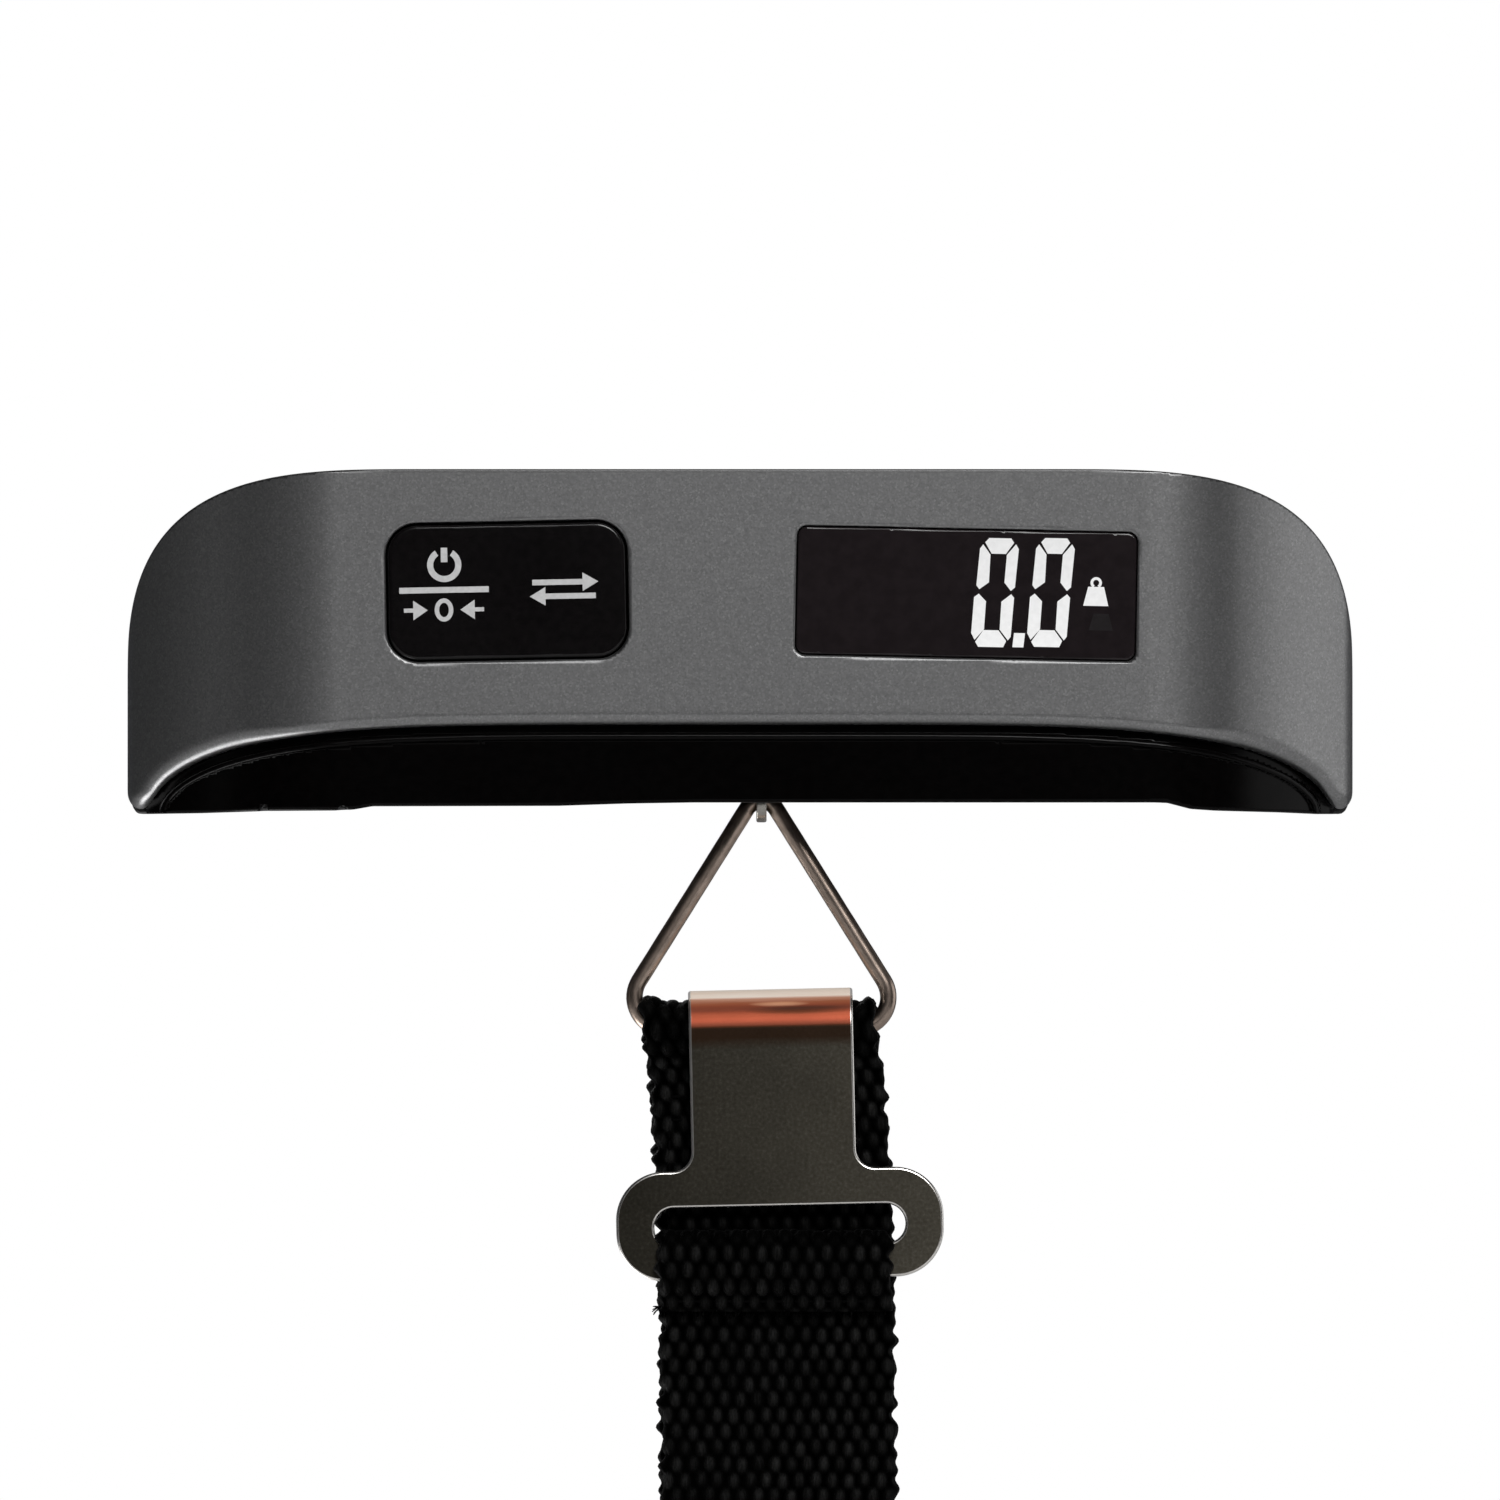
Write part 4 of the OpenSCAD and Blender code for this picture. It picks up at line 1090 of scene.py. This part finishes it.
def webbing():
    back_leg = eased((LEG_Y, -68), (LOOP_Y + LOOP_R, LOOP_Z))
    front_leg = eased((FRONT_Y, FRONT_Z), (LOOP_Y - LOOP_R, LOOP_Z))[::-1]
    below = front_leg[:, 1] < SEAM_Z
    seam = np.array([[np.interp(SEAM_Z, front_leg[:, 1], front_leg[:, 0]), SEAM_Z]])
    line, along = center_line([
        straight((-LEG_Y, -69.5), (-LEG_Y, -45.6)),
        straight((-LEG_Y, -45.6), (-1.95, -43.2), 8)[1:],
        arc((0, BAR_Z), 2.28, 220, -40)[1:],
        straight((1.95, -43.2), (LEG_Y, -45.6), 8)[1:],
        straight((LEG_Y, -45.6), (LEG_Y, -68.0))[1:],
        back_leg[1:],
        arc((LOOP_Y, LOOP_Z), LOOP_R, 0, -180, 60)[1:],
        front_leg[below][1:],
        seam,
    ])
    # duller where the strap lies forward
    shade = np.where(line[:, 0] < -1.2, 0.6, 1.0)
    ribbon("strap_loop_web", line, along, "strap", per_yarn=4, shade=shade, lift=corner_lift,
           replaces="webbing_strap")

    end_line, end_along = center_line([
        seam,
        front_leg[~below],
        straight((FRONT_Y, FRONT_Z), (FRONT_Y, -66.0))[1:],
        arc((FRONT_Y - FOLD_R, FOLD_Z), FOLD_R, 0, 180, 30)[1:],
        straight((FLAP_Y, FOLD_Z), (FLAP_Y, -68.8))[1:],
        straight((FLAP_Y, -68.8), (-4.05, -70.6), 10)[1:],
        straight((-4.05, -70.6), (-3.9, -72.0), 8)[1:],
    ])
    # the fold's crown lies in shade
    shade = np.clip((-64.0 - end_line[:, 1]) / 1.3, 0, 1)
    end = ribbon("strap_end_web", end_line, end_along + along[-1], None, per_yarn=5,
                 shade=shade, replaces="webbing_end_loop")
    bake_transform(end)


webbing()


# ----------------------------------------------------- stitches and loose ends
def capsule(start, end, radius, sides=6):
    start, end = np.array(start, float), np.array(end, float)
    axis = end - start
    length = np.linalg.norm(axis)
    axis = axis / length
    first = np.cross(axis, (0, 1, 0) if abs(axis[1]) < 0.9 else (1, 0, 0))
    first /= np.linalg.norm(first)
    second = np.cross(axis, first)
    # distance along the axis, share of the radius
    profile = [(-radius * 0.9, 0.25), (-radius * 0.45, 0.8), (0.15 * length, 1),
               (0.85 * length, 1), (length + radius * 0.45, 0.8), (length + radius * 0.9, 0.25)]
    verts, faces = [], []
    for along, share in profile:
        for i in range(sides):
            angle = 2 * math.pi * i / sides
            spoke = first * math.cos(angle) + second * math.sin(angle)
            verts.append(start + axis * along + spoke * radius * share)
    for i in range(len(profile) - 1):
        here, after = i * sides, (i + 1) * sides
        for j in range(sides):
            k = (j + 1) % sides
            faces.append([here + j, after + j, after + k, here + k])
    faces.append(list(range(sides)))
    last = (len(profile) - 1) * sides
    faces.append([last + j for j in range(sides - 1, -1, -1)])
    return verts, faces


def capsules(name, items, body, material, replaces=None):
    verts, faces = [], []
    for item_verts, item_faces in items:
        base = len(verts)
        verts += item_verts
        faces += [[i + base for i in face] for face in item_faces]
    make_mesh(name, verts, faces, body, material, replaces=replaces)


def dashes(start, end, count):
    """Start and end of each stitch in a row."""
    span = end - start
    return [(start + span * (i + 0.12) / count, start + span * (i + 0.88) / count)
            for i in range(count)]


def ring_end_stitches():
    """A box of stitches with doubled top and bottom rows, on both faces of the strap."""
    left, right, faces_y = -7.6, 12.8, (-1.4, 1.4)
    stitches = []
    for z in (-49.0, -51.5, -64.0, -66.5):
        for a, b in dashes(left, right, 9):
            stitches += [capsule((a, y, z), (b, y, z), 0.17) for y in faces_y]
    for a, b in dashes(-51.5, -64.0, 6):
        for x in (left, right):
            stitches += [capsule((x, y, a), (x, y, b), 0.17) for y in faces_y]
    capsules("stitch_ring_end", stitches, "strap", THREAD, "strap_stitching")


def cut_end_stitches():
    """One row through the flap."""
    z = -71.0
    stitches = []
    for a, b in dashes(-7.2, 14.4, 10):
        for y, radius in ((-4.6, 0.15), (-1.95, 0.12)):
            stitches.append(capsule((a, y, z), (b, y, z), radius))
    capsules("stitch_cut_end", stitches, "hook", THREAD, "end_stitching")


def frayed_edge():
    """Melted, slightly frayed cut edge of the flap, and loose fibres at its left corner."""
    draw = np.random.default_rng(7).uniform
    fibers = []
    for i in range(46):
        x = -8.3 + 23.6 * (i / 45) + draw(-0.2, 0.2)
        length = draw(0.25, 0.6)
        y = -3.9 + draw(-0.45, 0.35)
        tip = (x + draw(-0.2, 0.2), y + draw(-0.2, 0.15), -72.0 - length)
        fibers.append(capsule((x, y, -71.8), tip, draw(0.09, 0.2), sides=5))
    for i in range(9):
        x = -8.6 + draw(-0.1, 0.35)
        root = (x, -4.0 + draw(-0.3, 0.3), -71.5)
        tip = (x - draw(0.3, 0.9), -4.1 + draw(-0.3, 0.3), -71.9 - draw(-0.5, 0.5))
        fibers.append(capsule(root, tip, 0.07, sides=5))
    capsules("frayed_cut_edge", fibers, "hook", WEBBING)


ring_end_stitches()
cut_end_stitches()
frayed_edge()


# ------------------------------------------------------------ legends, digits
def flat_shapes(name, outlines, y, thickness, body, material, place):
    """Outlines in a place's own mm, given a small thickness just in front of y."""
    (mid_x, mid_z), tilt = place
    cos, sin = math.cos(tilt), math.sin(tilt)
    verts, faces = [], []
    for outline in outlines:
        count, base = len(outline), len(verts)
        following = outline[1:] + outline[:1]
        if sum(p[0] * q[1] - q[0] * p[1] for p, q in zip(outline, following)) < 0:
            outline = outline[::-1]
        for level in (y - thickness, y):
            for across, up in outline:
                verts.append((mid_x + across * cos - up * sin, level,
                              mid_z + across * sin + up * cos))
        faces.append([base + i for i in range(count)])
        faces.append([base + count + i for i in range(count - 1, -1, -1)])
        for i in range(count):
            j = (i + 1) % count
            faces.append([base + i, base + count + i, base + count + j, base + j])
    make_mesh(name, verts, faces, body, material, smooth=False)


def band(center, radii, thickness, start, end, count=36):
    """An arc band, round or oval, as one outline; angles in degrees."""
    outline = []
    for inset, first, last in ((0, start, end), (thickness, end, start)):
        for angle in np.radians(np.linspace(first, last, count)):
            outline.append((center[0] + (radii[0] - inset) * math.cos(angle),
                            center[1] + (radii[1] - inset) * math.sin(angle)))
    return outline


def rect(x0, y0, x1, y1):
    return [(x0, y0), (x1, y0), (x1, y1), (x0, y1)]


def key_legends():
    # ring open at the top, with an upright bar in the gap
    across, up = -6.6899, 2.9352
    shapes = [
        band((across, up), (1.84, 1.84), 0.66, 122, 418),
        rect(across - 0.35, up + 0.3, across + 0.35, up + 1.85),
    ]
    # level bar below it
    bar_left, bar_right, bar_up, bar_half = -11.5715, -1.9542, 0.2532, 0.32
    shapes.append(rect(bar_left, bar_up - bar_half, bar_right, bar_up + bar_half))
    # zero set: an upright ring between two arrows
    across, up = -6.8041, -1.8928
    for side in (-1, 1):
        base = across + side * 3.3
        shapes.append([(base, up + 1.05), (base, up - 1.05), (across + side * 1.75, up)])
        tail = sorted((base, across + side * 4.3))
        shapes.append(rect(tail[0], up - 0.22, tail[1], up + 0.22))
    shapes.append(band((across, up), (1.0, 1.25), 0.48, 90, 450, count=33))
    # swap sign: two opposed arrows
    across, up = 6.1151, 0.1132
    for side in (1, -1):
        tail, neck, mid = across - side * 3.4, across + side * 2.0, up + side * 0.75
        shapes.append(rect(min(tail, neck), mid - 0.3, max(tail, neck), mid + 0.3))
        shapes.append([(neck, mid + 1.0), (neck, mid - 1.0), (neck + side * 1.7, mid)])
    flat_shapes("key_legends", shapes, y=-13.66, thickness=0.09, body="key",
                material=INK, place=KEY)


DIGIT_SLANT = math.tan(math.radians(6.0))
# outlines of the six bars of an upright nought with mitred ends
NOUGHT = (
    ((0.16, 11.27), (0.54, 11.74), (2.9, 11.74), (3.27, 11.27), (2.53, 10.06), (1.0, 10.06)),
    ((-0.03, 11.05), (0.89, 9.96), (1.1, 6.98), (0.15, 6.22), (-0.21, 6.65), (-0.31, 10.6)),
    ((3.5, 11.12), (2.65, 9.96), (2.76, 6.98), (3.56, 6.1), (3.95, 6.48), (3.85, 10.6)),
    ((0.16, 5.75), (1.04, 4.94), (1.2, 1.93), (0.33, 0.79), (-0.12, 1.5), (-0.3, 5.37)),
    ((3.64, 5.75), (2.69, 4.94), (2.88, 1.93), (3.9, 0.79), (4.16, 1.18), (4.0, 5.37)),
    ((1.15, 1.85), (2.76, 1.85), (3.73, 0.72), (3.49, 0.04), (0.8, 0.04), (0.42, 0.58)),
)
DIGIT_CORNERS = ((0.5573, -5.7335), (6.5658, -5.6076))  # lower left of each nought


def weight(across, up, half_base, low, half_top, high):
    """A small cast weight, narrower at the top."""
    return [(across - half_base, up + low), (across + half_base, up + low),
            (across + half_top, up + high), (across - half_top, up + high)]


def display():
    shapes = [
        [(left + x + y * DIGIT_SLANT, low + y) for x, y in bar]
        for left, low in DIGIT_CORNERS for bar in NOUGHT
    ]
    # point between the noughts
    left, right, low, high = 5.0427, 6.2236, -5.6610, -4.1335
    shapes.append([(left, low), (right, low), (right + 0.15, high), (left + 0.15, high)])
    # unit sign: a weight with its ring
    across, up = 13.8993, 0.4498
    shapes.append(weight(across, up, half_base=1.35, low=-1.5, half_top=0.85, high=0.55))
    shapes.append(band((across, up + 0.98), (0.62, 0.62), 0.3, -60, 240, count=20))
    flat_shapes("display_segments", shapes, y=-13.37, thickness=0.03, body="housing",
                material=LIT, place=DISPLAY)
    unlit = weight(14.4942, -2.3286, half_base=1.3, low=-1.35, half_top=0.8, high=0.45)
    flat_shapes("display_ghost", [unlit], y=-13.37, thickness=0.02, body="housing",
                material=GHOST, place=DISPLAY)


key_legends()
display()

# ----------------------------------------------- finishes for the CAD's parts
CAD_FINISHES = (
    (metal("pin_steel", color=(0.6, 0.6, 0.62), rough=0.25, grain=800, stretch=(1, 6, 6)),
     ("door_hinge_pin", "key_pivot_pin")),
    (metal("zinc_steel", color=(0.55, 0.56, 0.58), rough=0.3, grain=600, var=0.12),
     ("load_cell_spacer", "backbone_plate", "load_cell_screws", "backbone_screws",
      "pcb_screws", "eye_nut", "eye_washer")),
    (metal("beam_aluminium", color=(0.7, 0.71, 0.72), rough=0.32, grain=700,
           stretch=(0.15, 3, 3), var=0.08), ("load_cell_beam",)),
    (metal("black_oxide_steel", color=(0.06, 0.06, 0.065), rough=0.4, grain=1200, var=0.2,
           edge_paling=0.6), ("housing_screws",)),
    (metal("cell_case", color=(0.66, 0.66, 0.68), rough=0.26, grain=500, var=0.05),
     ("coin_cell",)),
    (metal("contact_strip", color=(0.75, 0.66, 0.42), rough=0.28),
     ("battery_contact_positive", "battery_contact_negative")),
    (plastic("pcb_mask_green", color=(0.012, 0.11, 0.04), rough=0.3, grain=400, bump=0.1,
             var=0.2, coat=0.3), ("main_pcb",)),
    (plastic("chip_epoxy", color=(0.02, 0.02, 0.021), rough=0.5, grain=3000, bump=0.3,
             var=0.2), ("controller_chip",)),
    (plastic("component_body", color=(0.35, 0.27, 0.17), rough=0.4, grain=1500, bump=0.2,
             var=0.3), ("pcb_components",)),
    (plastic("switch_shell", color=(0.03, 0.03, 0.032), rough=0.45, grain=2000, bump=0.2),
     ("switch_bodies",)),
    (plastic("plunger_white", color=(0.62, 0.61, 0.57), rough=0.4, grain=1800),
     ("switch_plunger_left", "switch_plunger_right")),
    (plastic("frame_black", color=gray(0.02), rough=0.5, grain=1800, bump=0.3),
     ("lcd_frame",)),
    (plastic("diffuser_white", color=(0.75, 0.75, 0.72), rough=0.5, grain=900, bump=0.05,
             var=0.03), ("lcd_backlight",)),
    (plastic("lcd_cell", color=(0.05, 0.055, 0.06), rough=0.08, grain=400, bump=0.0, var=0.1,
             coat=0.6), ("lcd_glass",)),
    (plastic("zebra_elastomer", color=(0.5, 0.2, 0.2), rough=0.6, bump=0.2),
     ("zebra_strips",)),
    (plastic("wire_red", color=(0.4, 0.02, 0.015), rough=0.35, grain=1500, bump=0.1),
     ("battery_wires",)),
    (plastic("wire_pale", color=(0.55, 0.55, 0.5), rough=0.4, grain=1500, bump=0.1),
     ("gauge_wires",)),
    (plastic("gauge_film", color=(0.6, 0.32, 0.07), rough=0.35, grain=900, bump=0.1,
             coat=0.4), ("strain_gauges",)),
)
for material, names in CAD_FINISHES:
    for name in names:
        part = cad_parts[name]
        if not part.material_slots:
            part.data.materials.append(material)
        for slot in part.material_slots:
            slot.material = material

# --------------------------------------------------------------- studio, view
scene = bpy.context.scene
scene.view_settings.view_transform = "Standard"
scene.view_settings.look = "None"


def studio_world():
    """White to the camera; for lighting, paler behind the object than in front of it."""
    world = bpy.data.worlds.new("studio")
    scene.world = world
    world.use_nodes = True
    nodes, link = world.node_tree.nodes, world.node_tree.links.new
    nodes.clear()
    output = nodes.new("ShaderNodeOutputWorld")
    mix = nodes.new("ShaderNodeMixShader")
    rays = nodes.new("ShaderNodeLightPath")
    seen = nodes.new("ShaderNodeBackground")
    seen.inputs["Color"].default_value = (1, 1, 1, 1)
    lighting = nodes.new("ShaderNodeBackground")
    lighting.inputs["Color"].default_value = (0.9, 0.93, 1.0, 1)
    point = nodes.new("ShaderNodeTexCoord")
    split = nodes.new("ShaderNodeSeparateXYZ")
    strength = nodes.new("ShaderNodeMapRange")
    strength.interpolation_type = "SMOOTHSTEP"
    for key, value in (("From Min", 0.3), ("From Max", 0.75),
                       ("To Min", 0.022), ("To Max", 0.06)):
        strength.inputs[key].default_value = value
    link(point.outputs["Generated"], split.inputs[0])
    link(split.outputs["Y"], strength.inputs["Value"])
    link(strength.outputs["Result"], lighting.inputs["Strength"])
    link(rays.outputs["Is Camera Ray"], mix.inputs[0])
    link(lighting.outputs[0], mix.inputs[1])
    link(seen.outputs[0], mix.inputs[2])
    link(mix.outputs[0], output.inputs[0])


def area_light(name, place, aim, size, power):
    data = bpy.data.lights.new(name, "AREA")
    data.shape = "RECTANGLE"
    data.size, data.size_y = size
    data.energy = power
    data.color = WHITE
    light = bpy.data.objects.new(name, data)
    light.location = place
    direction = Vector(aim) - Vector(place)
    light.rotation_euler = direction.to_track_quat("-Z", "Y").to_euler()
    scene.collection.objects.link(light)
    return light


def lights():
    area_light("soft_front", place=(0.24, -0.98, 0.62), aim=(0, 0, 0), size=(0.46, 0.5),
               power=11.0)
    area_light("strip_right", place=(0.95, 0.12, 0.1), aim=(0.03, 0, 0), size=(0.75, 0.8),
               power=1.6)
    area_light("strip_left", place=(-0.95, -0.15, 0.1), aim=(-0.03, 0, 0), size=(0.14, 0.7),
               power=0.05)
    area_light("top_back", place=(0.1, 0.55, 0.9), aim=(0, 0, 0), size=(0.9, 0.4), power=0.35)
    area_light("lip_kick", place=(-0.086, 0.014, -0.135), aim=(-0.058, -0.009, -0.013),
               size=(0.085, 0.085), power=0.1)
    # a soft light behind the object, for its rear side only
    rear = area_light("soft_rear", place=(-0.5, 1.15, 0.5), aim=(0, 0, -0.04),
                      size=(0.9, 0.7), power=9.0)
    rear.visible_camera = False
    receivers = bpy.data.collections.new("rear_side")
    for name in ("cover_rear", "door_battery", "strap_loop_web"):
        receivers.objects.link(bpy.data.objects[name])
    for name in ("housing_screws", "coin_cell"):
        receivers.objects.link(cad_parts[name])
    rear.light_linking.receiver_collection = receivers


def floor():
    """Pale disc under the hanging loop."""
    radius, middle_y, z, sides = 0.5, -0.02, -0.168, 64
    angles = [2 * math.pi * i / sides for i in range(sides)]
    verts = [(radius * math.cos(a), middle_y + radius * math.sin(a), z) for a in angles]
    mesh = bpy.data.meshes.new("floor")
    mesh.from_pydata(verts, [], [list(range(sides))])
    disc = bpy.data.objects.new("floor", mesh)
    scene.collection.objects.link(disc)
    m = Material("floor_pale")
    # seen directly the floor is pale; from below it doesn't hide the object
    seen = m.make("ShaderNodeLightPath", "Is Camera Ray")
    from_below = m.make("ShaderNodeNewGeometry", "Backfacing")
    m.set(Base_Color=m.ramp(m.noise(14), [(0.3, gray(0.8)), (0.7, gray(0.83))]),
          Roughness=0.8, Emission_Color=WHITE, Emission_Strength=seen * 0.6,
          Alpha=1.0 - seen * from_below)
    mesh.materials.append(m.data)


CAMERA_DISTANCE = 5.0
VIEW_WIDTH = 0.16097875  # metres seen across the picture at the body's front face


def camera():
    data = bpy.data.cameras.new("cam")
    view = bpy.data.objects.new("cam", data)
    scene.collection.objects.link(view)
    view.location = (0.00107, -CAMERA_DISTANCE, -0.0117)
    view.rotation_euler = (math.radians(90), 0, 0)
    data.sensor_width = 36
    data.lens = data.sensor_width * (CAMERA_DISTANCE - HALF_DEPTH * MM) / VIEW_WIDTH
    data.clip_start, data.clip_end = 0.05, 20
    scene.camera = view


studio_world()
lights()
floor()
camera()
